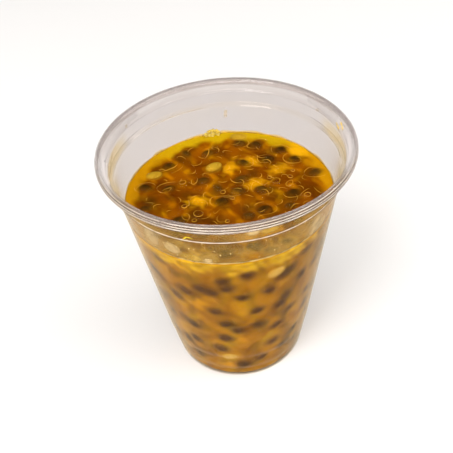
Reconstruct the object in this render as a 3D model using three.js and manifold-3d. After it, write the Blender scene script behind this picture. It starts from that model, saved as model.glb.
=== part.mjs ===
// A clear disposable cup with passion fruit pulp: amber juice, seeds in their juice sacs, a few
// pale seeds, yellow flesh and foam. Millimetres, +Z up. The origin is the middle of the foot
// ring, on the surface that the cup stands on.

import * as THREE from 'three';
import { mergeVertices } from 'three/addons/utils/BufferGeometryUtils.js';
import Module from 'manifold-3d';

// ---- Driving dimensions: the cup

const CUP_HEIGHT = 106;
const RIM_RADIUS = 49; // outside of the rolled rim
const RIM_ROLL = { width: 3.1, height: 3.5, turn: 250, steps: 8 }; // section of the roll, degrees
const SHEET = 0.5; // thickness of the plastic
const FOOT_RADIUS = 29.2; // the upper wall's outside, carried down to the table
const WALL_SLOPE = 0.151; // growth of the radius for each millimetre of height
const HEEL = { radius: 1.8, steps: 2 }; // round between wall and foot ring
const FOOT_RING_INNER = 25.9;
const BASE_PUSH_UP = { radius: 23.6, height: 2.5, shoulder: 0.9 }; // the base's raised middle
const FOOT_STEPS = { heights: [7.6, 17], depth: 0.25, halfWidth: 0.4 }; // the wall steps in
const STACKING_LEDGE = { z: 94.8, radius: 43.5, bandZ: 95.9, bandRadius: 45.08 };
const UPPER_LEDGE = { z: 100.7, radius: 45.2, lipZ: 101.5, lipRadius: 45.75 };

// ---- Driving dimensions: the pulp

const FILL_LEVEL = 82;
const CLEARANCE = 0.3; // between the pulp and the plastic
const MENISCUS = { height: 0.7, width: 2.2 }; // the pulp's climb at the wall
const SURFACE_WAVE = { height: 0.35, length: 14 };
const SURFACE_RINGS = 10;

// Sizes of the things that lie in the surface: length, width, thickness, and how much of the
// thickness stands above the level.
const SAC = { size: [9.5, 7.2, 3.0], proud: 0.75 };
const SEED = { size: [5.9, 3.9, 2.6], proud: 0.8 };
const PALE_SEED = { size: [7.4, 5.2, 1.8], proud: 0.9 };
const FLESH = { size: [8.5, 5.6, 3.2], proud: 0.9 };
const BUBBLE = { size: [4.4, 4.4, 3.2], proud: 1.2 };
const FOAM = { size: [3.0, 3.0, 3.0], proud: 1.6 };

// Places that give the surface its look, each a radius, a bearing from +X in degrees, and the
// turn of the piece's long side from +X.
const SAC_PLACES = [
  [35, 48, 150], [34, 34, 160], [36.5, 13, 170], [34.5, 67, 20], [34, 80, 10], [29.5, 105, 25],
  [32.5, 139, 40], [34.5, 168, 0], [25, 166, 10], [14, 137, 20], [33.5, 190, 30], [20.5, 71, 160],
  [27, 50, 10], [13, 3, 145], [3.5, 8, 20], [17.5, 318, 175], [6, 235, 5], [10, 58, 170],
  [25.5, 354, 30], [24.5, 215, 20], [38, 291, 10], [37, 302, 15], [33, 283, 0], [34.5, 265, 150],
  [38.5, 323, 40], [24.5, 245, 10],
];
const PALE_PLACES = [[34, 153, 25], [18.5, 107, 40], [38.5, 81, 0], [36, 233, 20], [38.5, 256, 0]];
const FLESH_PLACES = [
  [23, 63, 150], [12, 25, 20], [25.5, 33, 25], [13, 194, 160], [17, 86, 60], [38, 248, 10],
  [36.5, 279, 0], [27, 286, 30], [28.5, 301, 40], [38.2, 39, 130],
];
const BUBBLE_PLACES = [
  [17.2, 224, 0], [19.5, 13, 0], [25.5, 5, 0], [19.5, 158, 0], [31, 348, 0], [21.8, 255, 0],
  [19.5, 204, 0],
];
const FOAM_BEARING = { first: 92, last: 102, radius: 39.3, count: 4 };
const LOOSE_SEEDS = { count: 56, spacing: 6.8, seed: 11 }; // spread over what is still bare

// ---- Sides of the round surfaces

const SEGMENTS = 60; // shared by cup and pulp, so that their flat sides stay parallel
const SEED_SIDES = [6, 4];
const LARGE_SIDES = [8, 4];

const GOLDEN_ANGLE = Math.PI * (3 - Math.sqrt(5));

const wasm = await Module();
wasm.setup();

// A repeatable random draw between 0 and 1.
function randomSource(seed) {
  let state = seed;
  return () => {
    state = (state + 0x6d2b79f5) | 0;
    let mixed = Math.imul(state ^ (state >>> 15), 1 | state);
    mixed = (mixed + Math.imul(mixed ^ (mixed >>> 7), 61 | mixed)) ^ mixed;
    return ((mixed ^ (mixed >>> 14)) >>> 0) / 4294967296;
  };
}

// The outside radius of the wall at a height: a cone, stepped in below each of the foot's steps.
function wallRadius(z) {
  const stepsAbove = FOOT_STEPS.heights.filter((height) => z < height).length;
  return FOOT_RADIUS + WALL_SLOPE * z - FOOT_STEPS.depth * stepsAbove;
}

// The heights of the two ends of each of the foot's steps, going up.
function footStepHeights() {
  return FOOT_STEPS.heights.flatMap((z) => [z - FOOT_STEPS.halfWidth, z + FOOT_STEPS.halfWidth]);
}

// Points on an elliptical arc in the profile plane, between two angles in degrees.
function arcPoints(centre, radii, from, to, steps) {
  return Array.from({ length: steps + 1 }, (_, i) => {
    const angle = THREE.MathUtils.degToRad(from + ((to - from) * i) / steps);
    const x = centre.x + radii.x * Math.cos(angle);
    return new THREE.Vector2(x, centre.y + radii.y * Math.sin(angle));
  });
}

// The middle line of the plastic's section, from the base's centre to the end of the rim's roll.
function cupMiddleLine() {
  const half = SHEET / 2;
  const lean = Math.atan(WALL_SLOPE);
  const middle = (z) => wallRadius(z) - half / Math.cos(lean);
  const heelRadius = HEEL.radius - half;
  const heelCentre = new THREE.Vector2(middle(HEEL.radius) - heelRadius, half + heelRadius);
  const heelRadii = new THREE.Vector2(heelRadius, heelRadius);
  const leanDegrees = THREE.MathUtils.radToDeg(lean);
  const base = [
    new THREE.Vector2(0, BASE_PUSH_UP.height + half),
    new THREE.Vector2(BASE_PUSH_UP.radius, BASE_PUSH_UP.height + half),
    new THREE.Vector2(FOOT_RING_INNER - BASE_PUSH_UP.shoulder, BASE_PUSH_UP.shoulder + half),
    new THREE.Vector2(FOOT_RING_INNER, half),
  ];
  const heel = arcPoints(heelCentre, heelRadii, -90, -leanDegrees, HEEL.steps);
  const footSteps = footStepHeights().map((z) => new THREE.Vector2(middle(z), z));
  const shoulder = [
    new THREE.Vector2(middle(STACKING_LEDGE.z - 0.4), STACKING_LEDGE.z - 0.4),
    new THREE.Vector2(STACKING_LEDGE.radius + 0.2, STACKING_LEDGE.z + half),
    new THREE.Vector2(STACKING_LEDGE.bandRadius - half, STACKING_LEDGE.bandZ),
    new THREE.Vector2(UPPER_LEDGE.radius - half, UPPER_LEDGE.z),
    new THREE.Vector2(UPPER_LEDGE.lipRadius - half, UPPER_LEDGE.lipZ),
  ];
  const rollRadii = new THREE.Vector2(RIM_ROLL.width / 2 - half, RIM_ROLL.height / 2 - half);
  const rollCentre = new THREE.Vector2(
    RIM_RADIUS - RIM_ROLL.width / 2,
    CUP_HEIGHT - RIM_ROLL.height / 2,
  );
  const roll = arcPoints(rollCentre, rollRadii, 180, 180 - RIM_ROLL.turn, RIM_ROLL.steps);
  return [...base, ...heel, ...footSteps, ...shoulder, ...roll];
}

// A line moved sideways by a distance; each corner is mitred.
function offsetLine(line, distance) {
  return line.map((point, i) => {
    const before = i > 0 ? point.clone().sub(line[i - 1]).normalize() : null;
    const after = i < line.length - 1 ? line[i + 1].clone().sub(point).normalize() : null;
    const first = before ?? after;
    const second = after ?? before;
    const along = first.clone().add(second).normalize();
    const normal = new THREE.Vector2(along.y, -along.x);
    const mitre = distance / Math.max(along.dot(first), 0.5);
    const moved = point.clone().addScaledVector(normal, mitre);
    return i === 0 ? moved.setX(0) : moved;
  });
}

// A turned body about +Z from a profile of radius and height.
function turnedBody(profile) {
  const geometry = new THREE.LatheGeometry(profile, SEGMENTS);
  return geometry.rotateX(Math.PI / 2);
}

function cupGeometry() {
  const middleLine = cupMiddleLine();
  const outside = offsetLine(middleLine, SHEET / 2);
  const inside = offsetLine(middleLine, -SHEET / 2).reverse();
  return turnedBody([...outside, ...inside]);
}

// The closed solid of a geometry, with its shared corners joined and its slivers dropped.
function solidOf(geometry) {
  const bare = geometry.clone();
  bare.deleteAttribute('normal');
  bare.deleteAttribute('uv');
  const merged = mergeVertices(bare, 1e-5);
  const corners = [...merged.index.array];
  const faces = [];
  for (let i = 0; i < corners.length; i += 3) {
    const [a, b, c] = corners.slice(i, i + 3);
    if (a !== b && b !== c && c !== a) faces.push(a, b, c);
  }
  return new wasm.Manifold(new wasm.Mesh({
    numProp: 3,
    vertProperties: new Float32Array(merged.attributes.position.array),
    triVerts: new Uint32Array(faces),
  }));
}

function geometryOf(solid) {
  const mesh = solid.getMesh();
  const geometry = new THREE.BufferGeometry();
  geometry.setAttribute('position', new THREE.BufferAttribute(mesh.vertProperties, 3));
  geometry.setIndex(new THREE.BufferAttribute(mesh.triVerts, 1));
  geometry.computeVertexNormals();
  return geometry;
}

// The pulp's outside radius at a height, clear of the plastic.
function pulpRadius(z) {
  return wallRadius(z) - SHEET / Math.cos(Math.atan(WALL_SLOPE)) - CLEARANCE;
}

// The height of the liquid's surface over a point: long low waves and the climb at the wall.
function surfaceHeight(x, y) {
  const radius = Math.hypot(x, y);
  const edge = pulpRadius(FILL_LEVEL);
  const wave = (2 * Math.PI) / SURFACE_WAVE.length;
  const swell = Math.sin(x * wave + 0.7 * Math.sin(y * wave * 0.6)) * Math.cos(y * wave * 0.8 + 0.5);
  const calm = Math.min(1, (edge - radius) / (2 * MENISCUS.width));
  const climb = MENISCUS.height * Math.exp((radius - edge) / MENISCUS.width);
  return FILL_LEVEL - MENISCUS.height / 2 + SURFACE_WAVE.height * swell * calm + climb;
}

// The juice as one body, before anything is fused to it. Below the level it follows the plastic.
function juiceBody() {
  const alongPlastic = offsetLine(cupMiddleLine(), -(SHEET / 2 + CLEARANCE));
  const below = alongPlastic.filter((point) => point.y < FILL_LEVEL);
  const edge = pulpRadius(FILL_LEVEL);
  const surface = Array.from({ length: SURFACE_RINGS + 1 }, (_, i) => {
    const share = 1 - i / SURFACE_RINGS;
    return new THREE.Vector2(edge * Math.sqrt(share) * share ** 0.25, FILL_LEVEL);
  });
  const geometry = turnedBody([...below, ...surface]);
  const places = geometry.attributes.position;
  for (let i = 0; i < places.count; i += 1) {
    if (places.getZ(i) > FILL_LEVEL - 1) {
      places.setZ(i, surfaceHeight(places.getX(i), places.getY(i)));
    }
  }
  return solidOf(geometry);
}

// An egg-shaped piece lying in the surface at a radius and bearing.
function surfacePiece(kind, sides, [radius, bearing, turn]) {
  const angle = THREE.MathUtils.degToRad(bearing);
  const [length, width, thickness] = kind.size.map((size) => size / 2);
  const x = radius * Math.cos(angle);
  const y = radius * Math.sin(angle);
  const geometry = new THREE.SphereGeometry(1, ...sides);
  geometry.rotateX(Math.PI / 2);
  geometry.scale(length, width, thickness);
  geometry.rotateZ(THREE.MathUtils.degToRad(turn));
  geometry.translate(x, y, surfaceHeight(x, y) + kind.proud - thickness);
  return solidOf(geometry);
}

// Places for the seeds that no list names: a sunflower spiral, thinned where something lies.
function looseSeedPlaces(taken) {
  const random = randomSource(LOOSE_SEEDS.seed);
  const reach = pulpRadius(FILL_LEVEL) - SEED.size[0] / 2 - 1;
  const apart = (a, b) => {
    const turn = THREE.MathUtils.degToRad(a[1] - b[1]);
    return Math.sqrt(a[0] ** 2 + b[0] ** 2 - 2 * a[0] * b[0] * Math.cos(turn));
  };
  const places = [];
  for (let i = 0; i < LOOSE_SEEDS.count; i += 1) {
    const radius = reach * Math.sqrt((i + 0.5) / LOOSE_SEEDS.count) + (random() - 0.5);
    const bearing = THREE.MathUtils.radToDeg(i * GOLDEN_ANGLE);
    const place = [radius, bearing, 180 * random()];
    if ([...taken, ...places].every((other) => apart(place, other) > LOOSE_SEEDS.spacing)) {
      places.push(place);
    }
  }
  return places;
}

// The little heap of foam that clings to the back of the wall.
function foamPlaces() {
  const { first, last, radius, count } = FOAM_BEARING;
  return Array.from({ length: count }, (_, i) => {
    return [radius - 0.9 * (i % 2), first + ((last - first) * i) / (count - 1), 0];
  });
}

// The space that the pulp may fill, so that nothing fused to it reaches the plastic.
function roomInsideWall() {
  const top = CUP_HEIGHT;
  const floor = BASE_PUSH_UP.height;
  return solidOf(turnedBody([
    new THREE.Vector2(0, -floor),
    new THREE.Vector2(pulpRadius(-floor), -floor),
    new THREE.Vector2(pulpRadius(top), top),
    new THREE.Vector2(0, top),
  ]));
}

function pulpGeometry() {
  const named = [SAC_PLACES, PALE_PLACES, FLESH_PLACES, BUBBLE_PLACES].flat();
  const pieces = [
    ...SAC_PLACES.map((place) => surfacePiece(SAC, LARGE_SIDES, place)),
    ...PALE_PLACES.map((place) => surfacePiece(PALE_SEED, LARGE_SIDES, place)),
    ...FLESH_PLACES.map((place) => surfacePiece(FLESH, LARGE_SIDES, place)),
    ...BUBBLE_PLACES.map((place) => surfacePiece(BUBBLE, LARGE_SIDES, place)),
    ...foamPlaces().map((place) => surfacePiece(FOAM, SEED_SIDES, place)),
    ...looseSeedPlaces(named).map((place) => surfacePiece(SEED, SEED_SIDES, place)),
  ];
  const fused = pieces.reduce((whole, piece) => whole.add(piece), juiceBody());
  return geometryOf(fused.intersect(roomInsideWall()));
}

function namedMesh(name, geometry, material) {
  const mesh = new THREE.Mesh(geometry, new THREE.MeshStandardMaterial(material));
  mesh.name = name;
  return mesh;
}

const cupOfPulp = new THREE.Group();
cupOfPulp.add(
  namedMesh('cup', cupGeometry(), {
    color: 0xe6e1de, roughness: 0.08, metalness: 0, transparent: true, opacity: 0.35,
  }),
  namedMesh('pulp', pulpGeometry(), { color: 0xb8740f, roughness: 0.18, metalness: 0 }),
);

export default cupOfPulp;
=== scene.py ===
"""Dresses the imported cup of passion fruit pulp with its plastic, juice, seeds, flesh and foam."""

import logging
import math
from dataclasses import dataclass, field
from enum import Enum
from typing import Callable, Iterable, Sequence

import bpy
import numpy as np
from mathutils import Matrix, Vector


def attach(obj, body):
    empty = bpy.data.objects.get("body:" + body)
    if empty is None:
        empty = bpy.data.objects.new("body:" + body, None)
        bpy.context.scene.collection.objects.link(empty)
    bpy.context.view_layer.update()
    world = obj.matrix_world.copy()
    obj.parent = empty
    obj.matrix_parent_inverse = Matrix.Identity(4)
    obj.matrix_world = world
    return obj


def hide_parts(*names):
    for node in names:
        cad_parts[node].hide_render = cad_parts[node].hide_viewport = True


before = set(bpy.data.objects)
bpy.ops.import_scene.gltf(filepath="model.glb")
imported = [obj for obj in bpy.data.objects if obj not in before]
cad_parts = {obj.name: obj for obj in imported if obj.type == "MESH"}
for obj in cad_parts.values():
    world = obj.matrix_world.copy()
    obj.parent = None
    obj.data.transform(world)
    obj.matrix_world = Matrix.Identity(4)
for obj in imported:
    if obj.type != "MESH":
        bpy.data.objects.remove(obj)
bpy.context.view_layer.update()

log = logging.getLogger("cup_of_pulp")

MM = 0.001
BODY = "root"
GOLDEN_ANGLE = math.pi * (3 - math.sqrt(5))
PAINT = "paint"

Array = np.ndarray
Piece = bpy.types.Object
Socket = bpy.types.NodeSocket
Colour = tuple[float, float, float]
Place = tuple[float, float, float]
Pair = tuple[float, float]
Faces = list[tuple[int, ...]]
Shape = tuple[Array, Faces]


# ---- small helpers


def srgb(red: int, green: int, blue: int) -> Colour:
    """Turns a display colour in steps of 0 to 255 into a linear one.

    Args:
        red: Red step.
        green: Green step.
        blue: Blue step.

    Returns:
        The linear colour that shaders take.
    """

    def linear(step: int) -> float:
        """One channel."""
        share = step / 255
        return share / 12.92 if share <= 0.04045 else ((share + 0.055) / 1.055) ** 2.4

    return linear(red), linear(green), linear(blue)


def random_source(seed: int) -> Callable[[], float]:
    """Makes the repeatable random draw that the solids use too.

    Args:
        seed: Any whole number.

    Returns:
        A function whose every call gives the next number between 0 and 1.
    """
    state = seed

    def wrapped(value: int) -> int:
        """The value kept to 32 bits."""
        return value & 0xFFFFFFFF

    def draw() -> float:
        """The next number, from 0 up to 1."""
        nonlocal state
        state = wrapped(state + 0x6D2B79F5)
        mixed = wrapped((state ^ (state >> 15)) * (1 | state))
        mixed = wrapped(mixed + wrapped((mixed ^ (mixed >> 7)) * (61 | mixed))) ^ mixed
        return wrapped(mixed ^ (mixed >> 14)) / 4294967296

    return draw


def smooth_step(value: Array, low: float, high: float) -> Array:
    """Spreads a range smoothly over 0 to 1; a low end above the high end runs backwards."""
    share = np.clip((value - low) / (high - low), 0, 1)
    return share * share * (3 - 2 * share)


def mixed(low: Array, high: Array, share: Array) -> Array:
    """Mixes two colours, or rows of them, by a share for each row."""
    return low + (high - low) * share[:, None]


def make_piece(
    name: str,
    points: Array,
    faces: Iterable[Sequence[int]],
    material: bpy.types.Material,
    paint: Array | None = None,
) -> Piece:
    """Makes a smooth mesh object from points in millimetres.

    Args:
        name: The object's name.
        points: One row of x, y and z for each corner.
        faces: The corners of each face.
        material: The finish.
        paint: A linear colour, and its cover, for each corner, where the finish reads them.

    Returns:
        The object, linked to the scene.
    """
    mesh = bpy.data.meshes.new(name)
    mesh.from_pydata((points * MM).tolist(), [], [tuple(face) for face in faces])
    mesh.polygons.foreach_set("use_smooth", [True] * len(mesh.polygons))
    mesh.materials.append(material)
    if paint is not None:
        layer = mesh.attributes.new(PAINT, "FLOAT_COLOR", "POINT")
        full = np.ones((len(paint), 4))
        full[:, : paint.shape[1]] = paint
        layer.data.foreach_set("color", full.ravel())
    mesh.validate()
    mesh.update()
    piece = bpy.data.objects.new(name, mesh)
    bpy.context.scene.collection.objects.link(piece)
    return piece


def polar(radius: float, angle: float, z: float) -> Array:
    """The point at a radius, an angle in radians and a height."""
    return np.array([radius * math.cos(angle), radius * math.sin(angle), z])


def ring_points(rings: Array, segments: int) -> Array:
    """Turns rows of radius and height round +Z.

    Args:
        rings: Rows of radius and height.
        segments: Points in each ring.

    Returns:
        The points, ring after ring.
    """
    angles = np.linspace(0, 2 * math.pi, segments, endpoint=False)
    x = np.outer(rings[:, 0], np.cos(angles))
    y = np.outer(rings[:, 0], np.sin(angles))
    z = np.repeat(rings[:, 1:2], segments, axis=1)
    return np.stack([x, y, z], axis=-1).reshape(-1, 3)


def ring_faces(low: int, high: int, count: int) -> Faces:
    """The faces between two rings of as many points, each ring given by its first point."""
    turns = [(side, (side + 1) % count) for side in range(count)]
    return [(low + side, low + after, high + after, high + side) for side, after in turns]


def turned_loop(rings: Array, segments: int) -> Shape:
    """Turns a closed section that stays off the axis round +Z.

    Args:
        rings: Rows of radius and height, anticlockwise.
        segments: Points in each ring.

    Returns:
        Points and faces.
    """
    faces: Faces = []
    for ring in range(len(rings)):
        faces += ring_faces(ring * segments, (ring + 1) % len(rings) * segments, segments)
    return ring_points(rings, segments), faces


def turned(profile: Array, segments: int) -> Shape:
    """Turns a profile that starts and ends on the axis round +Z.

    Args:
        profile: Rows of radius and height, going up the outside.
        segments: Sides of the round.

    Returns:
        Points and faces of one closed body.
    """
    rings = profile[1:-1]
    ends = np.array([[0, 0, profile[0, 1]], [0, 0, profile[-1, 1]]])
    points = np.vstack([ring_points(rings, segments), ends])
    first, last = len(points) - 2, len(points) - 1
    top = (len(rings) - 1) * segments
    faces: Faces = []
    for low in range(0, top, segments):
        faces += ring_faces(low, low + segments, segments)
    for side in range(segments):
        after = (side + 1) % segments
        faces.append((first, after, side))
        faces.append((last, top + side, top + after))
    return points, faces


def ball(sides: int, rings: int) -> Shape:
    """Makes a unit ball whose poles lie along X.

    Args:
        sides: Sides round the ball.
        rings: Bands from pole to pole.

    Returns:
        Points and faces.
    """
    angles = np.linspace(-math.pi / 2, math.pi / 2, rings + 1)
    profile = np.column_stack([np.cos(angles), np.sin(angles)])
    points, faces = turned(profile, sides)
    return points[:, [2, 0, 1]], faces


def swept(path: Array, radii: Array, facing: Array, sides: int, flatness: float) -> Shape:
    """Sweeps an oval section along a path, closed at both ends.

    Args:
        path: Rows of x, y and z.
        radii: The section's half width at each row.
        facing: The direction that the flat of the section faces, one row or one for each.
        sides: Sides of the section.
        flatness: The section's thickness against its width.

    Returns:
        Points and faces.
    """
    along = np.gradient(path, axis=0)
    along /= np.linalg.norm(along, axis=1)[:, None]
    wide = np.cross(along, np.broadcast_to(facing, path.shape))
    wide /= np.linalg.norm(wide, axis=1)[:, None]
    thin = np.cross(wide, along)
    turns = np.linspace(0, 2 * math.pi, sides, endpoint=False)
    rings = [
        path[i] + radii[i] * (np.outer(np.cos(turns), wide[i]) + flatness * np.outer(np.sin(turns), thin[i]))
        for i in range(len(path))
    ]
    points = np.vstack(rings)
    faces: Faces = []
    for low in range(0, len(points) - sides, sides):
        high = low + sides
        for side in range(sides):
            after = (side + 1) % sides
            faces.append((low + side, high + side, high + after, low + after))
    faces.append(tuple(range(sides)))
    faces.append(tuple(reversed(range(len(points) - sides, len(points)))))
    return points, faces


def gathered(parts: Iterable[Shape]) -> Shape:
    """Puts several closed shapes into one mesh.

    Args:
        parts: Points and faces of each shape.

    Returns:
        Points and faces of all of them.
    """
    points: list[Array] = []
    faces: Faces = []
    count = 0
    for part_points, part_faces in parts:
        points.append(part_points)
        faces.extend(tuple(corner + count for corner in face) for face in part_faces)
        count += len(part_points)
    return np.vstack(points), faces


@dataclass(frozen=True)
class Lie:
    """How one small thing lies: its middle, its long, wide and thin directions, and its size."""

    middle: Array
    axes: Array
    size: Array

    def points(self, shape: Array) -> Array:
        """The shape's points, sized, turned and placed."""
        return self.middle + (shape * (self.size / 2)) @ self.axes

    def reach(self, points: Array, thicken: float) -> Array:
        """How far out points lie, where 1 is the outside of the thing, made thicker by a factor."""
        half = self.size / 2 * (1, 1, thicken)
        return np.linalg.norm((points - self.middle) @ self.axes.T / half, axis=1)


def round_lie(radius: float, angle: float, z: float, size: float) -> Lie:
    """How a ball lies whose middle is given by radius, angle and height."""
    return Lie(polar(radius, angle, z), np.eye(3), np.full(3, size))


def joined(shape: Shape, lies: Sequence[Lie]) -> Shape:
    """Copies one shape, within a unit ball, to many places as one mesh."""
    return gathered((lie.points(shape[0]), shape[1]) for lie in lies)


def clouds(points: Array, length: float, shift: float) -> Array:
    """A smooth wander between 0 and 1 over the points.

    Args:
        points: Rows of x, y and z.
        length: The distance from one cloud to the next, in millimetres.
        shift: Makes two sets of clouds differ.

    Returns:
        A share for each point.
    """
    x, y, z = (points * (2 * math.pi / length) + shift).T
    first = np.sin(x + 1.3 * np.sin(0.63 * y + 0.41 * z + shift))
    second = np.sin(y * 0.91 + 1.1 * np.sin(0.57 * z - 0.7 * x))
    third = np.sin(z * 0.83 + 1.2 * np.sin(0.71 * x + 0.49 * y - shift))
    return np.clip(0.5 + 0.28 * (first + second * third + 0.5 * third), 0, 1)


# ---- shader graphs and groups


class Graph:
    """A short way to add and link the nodes of one tree."""

    def __init__(self, tree: bpy.types.NodeTree) -> None:
        """Keeps the tree."""
        self.tree = tree

    def add(self, kind: str, inputs: dict | None = None, **settings: object) -> bpy.types.Node:
        """Adds a node.

        Args:
            kind: The node's type name.
            inputs: For each input, by name or number, a value or the socket that feeds it.
            **settings: The node's own settings.

        Returns:
            The node.
        """
        node = self.tree.nodes.new(kind)
        for key, value in settings.items():
            setattr(node, key, value)
        for key, value in (inputs or {}).items():
            socket = node.inputs[key]
            if isinstance(value, Socket):
                self.link(value, socket)
            elif isinstance(value, tuple) and len(value) == 3 and socket.type == "RGBA":
                socket.default_value = (*value, 1)
            else:
                socket.default_value = value
        return node

    def link(self, source: Socket, target: Socket) -> None:
        """Feeds one socket from another."""
        self.tree.links.new(source, target)

    def blend(self, share: object, low: object, high: object) -> Socket:
        """Mixes two colours; the share, a value or a socket, is how much of the second shows."""
        node = self.add("ShaderNodeMix", {0: share, 6: low, 7: high}, data_type="RGBA")
        return node.outputs[2]

    def shade(self, share: object, colour: object, factor: Colour) -> Socket:
        """Multiplies a colour by a factor where a mask, a value or a socket, is full."""
        inputs = {0: share, 6: colour, 7: factor}
        return self.add("ShaderNodeMix", inputs, data_type="RGBA", blend_type="MULTIPLY").outputs[2]

    def math(self, operation: str, *values: object, clamp: bool = False) -> Socket:
        """Does arithmetic on values or sockets, and keeps the result between 0 and 1 where asked."""
        node = self.add("ShaderNodeMath", dict(enumerate(values)), operation=operation, use_clamp=clamp)
        return node.outputs[0]

    def ramp(self, value: object, low: object, high: object) -> Socket:
        """Spreads a range of a socket's values smoothly over 0 to 1."""
        inputs = {"Value": value, "From Min": low, "From Max": high}
        return self.add("ShaderNodeMapRange", inputs, interpolation_type="SMOOTHSTEP").outputs[0]

    def spread(self, value: object, low: float, high: float) -> Socket:
        """Spreads 0 to 1 evenly over a range."""
        return self.add("ShaderNodeMapRange", {"Value": value, "To Min": low, "To Max": high}).outputs[0]

    def noise(self, place: object, scale: object, detail: float, swirl: object = 0.0) -> bpy.types.Node:
        """Adds a noise that swirls about itself by a given amount."""
        inputs = {"Vector": place, "Scale": scale, "Detail": detail, "Distortion": swirl}
        return self.add("ShaderNodeTexNoise", inputs)

    def bumped(self, height: object, strength: float, distance: float) -> Socket:
        """The normal of a relief, whose full height is given in metres."""
        inputs = {"Height": height, "Strength": strength, "Distance": distance}
        return self.add("ShaderNodeBump", inputs).outputs[0]

    def slant(self, **inputs: object) -> Socket:
        """How slanted the surface is seen, from 0 straight on to 1 edge on."""
        return self.add("ShaderNodeLayerWeight", {"Blend": 0.5, **inputs}).outputs["Facing"]

    def power(self, value: object, rise: float, full: float) -> Socket:
        """A value that rises by a power to a full amount."""
        return self.math("MULTIPLY", self.math("POWER", value, rise), full)

    def see_through(self, tint: object) -> Socket:
        """A shader that only tints what lies behind it."""
        return self.add("ShaderNodeBsdfTransparent", {"Color": tint}).outputs[0]

    def matt(self, colour: Colour) -> Socket:
        """A plain matt shader."""
        return self.add("ShaderNodeBsdfDiffuse", {"Color": colour}).outputs[0]

    def principled(self, inputs: dict) -> Socket:
        """The general shader, with inputs by name."""
        return self.add("ShaderNodeBsdfPrincipled", inputs).outputs[0]

    def mix_shaders(self, share: object, first: object, second: object) -> Socket:
        """Mixes two shaders; the share is how much of the second shows."""
        return self.add("ShaderNodeMixShader", {0: share, 1: first, 2: second}).outputs[0]


class Effect(Enum):
    """The effects that several finishes share, each a shader node group."""

    MOTTLE = "mottle"
    STREAKS = "streaks"
    GRAIN = "grain"


class EffectGroups:
    """Builds each shared effect once and hands it to the finishes."""

    def __init__(self) -> None:
        """Builds the groups."""
        self.trees = {
            Effect.MOTTLE: self._mottle(),
            Effect.STREAKS: self._streaks(),
            Effect.GRAIN: self._grain(),
        }

    @staticmethod
    def _new(effect: Effect, inputs: dict[str, float], output: str) -> tuple[Graph, dict, Socket]:
        """Starts a group.

        Args:
            effect: Which effect.
            inputs: The named inputs and their first values.
            output: The name of its one output.

        Returns:
            The graph, the sockets to read and the socket to feed.
        """
        tree = bpy.data.node_groups.new(effect.value, "ShaderNodeTree")
        for name, value in inputs.items():
            socket = tree.interface.new_socket(name=name, in_out="INPUT", socket_type="NodeSocketFloat")
            socket.default_value = value
        tree.interface.new_socket(name=output, in_out="OUTPUT", socket_type="NodeSocketFloat")
        graph = Graph(tree)
        entry = graph.add("NodeGroupInput")
        leave = graph.add("NodeGroupOutput")
        return graph, entry.outputs, leave.inputs[output]

    @staticmethod
    def _place(graph: Graph, shift: Socket) -> Socket:
        """The place on the object, in metres, moved by a shift so that two uses differ."""
        place = graph.add("ShaderNodeTexCoord").outputs["Object"]
        return graph.add("ShaderNodeVectorMath", {0: place, 1: shift}, operation="ADD").outputs[0]

    def _mottle(self) -> bpy.types.NodeTree:
        """Soft clouds: a mask between two levels of a noise.

        Returns:
            The group's tree.
        """
        first = {"Scale": 100, "Low": 0.4, "High": 0.6, "Swirl": 0.5, "Shift": 0}
        graph, read, feed = self._new(Effect.MOTTLE, first, "Mask")
        noise = graph.noise(self._place(graph, read["Shift"]), read["Scale"], 3, read["Swirl"])
        graph.link(graph.ramp(noise.outputs[0], read["Low"], read["High"]), feed)
        return graph.tree

    def _streaks(self) -> bpy.types.NodeTree:
        """Thin curved wisps: the crests of a noise that is pulled about by another.

        Returns:
            The group's tree.
        """
        first = {"Scale": 200, "Pull": 0.004, "Pull Scale": 130, "Width": 0.05, "Shift": 0}
        graph, read, feed = self._new(Effect.STREAKS, first, "Mask")
        place = self._place(graph, read["Shift"])
        pull = graph.noise(place, read["Pull Scale"], 1)
        pulled = {0: pull.outputs["Color"], 1: read["Pull"], 2: place}
        bent = graph.add("ShaderNodeVectorMath", pulled, operation="MULTIPLY_ADD")
        noise = graph.noise(bent.outputs[0], read["Scale"], 1)
        off_crest = graph.math("ABSOLUTE", graph.math("SUBTRACT", noise.outputs[0], 0.5))
        graph.link(graph.ramp(off_crest, read["Width"], 0.0), feed)
        return graph.tree

    def _grain(self) -> bpy.types.NodeTree:
        """Fine uneven height: pits and swells at one scale.

        Returns:
            The group's tree.
        """
        graph, read, feed = self._new(Effect.GRAIN, {"Scale": 900, "Pits": 0.5, "Shift": 0}, "Height")
        place = self._place(graph, read["Shift"])
        noise = graph.noise(place, read["Scale"], 4)
        cells = graph.add("ShaderNodeTexVoronoi", {"Vector": place, "Scale": read["Scale"]})
        pits = graph.math("MULTIPLY", cells.outputs["Distance"], read["Pits"])
        graph.link(graph.math("ADD", noise.outputs[0], pits), feed)
        return graph.tree

    def use(self, graph: Graph, effect: Effect, **inputs: object) -> Socket:
        """Places an effect in a material.

        Args:
            graph: The material's graph.
            effect: Which effect.
            **inputs: Its inputs by name.

        Returns:
            The effect's one output.
        """
        node = graph.add("ShaderNodeGroup", node_tree=self.trees[effect])
        for name, value in inputs.items():
            node.inputs[name.capitalize()].default_value = value
        return node.outputs[0]


@dataclass(frozen=True)
class Grain:
    """A fine relief: its scale, how deep its pits are, how much of it shows and its height in metres."""

    scale: float
    pits: float
    strength: float
    height: float


@dataclass(frozen=True)
class Thickness:
    """How a film covers where its clouds are thin and thick, and the scale of the clouds."""

    thin: float
    thick: float
    scale: float


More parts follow.
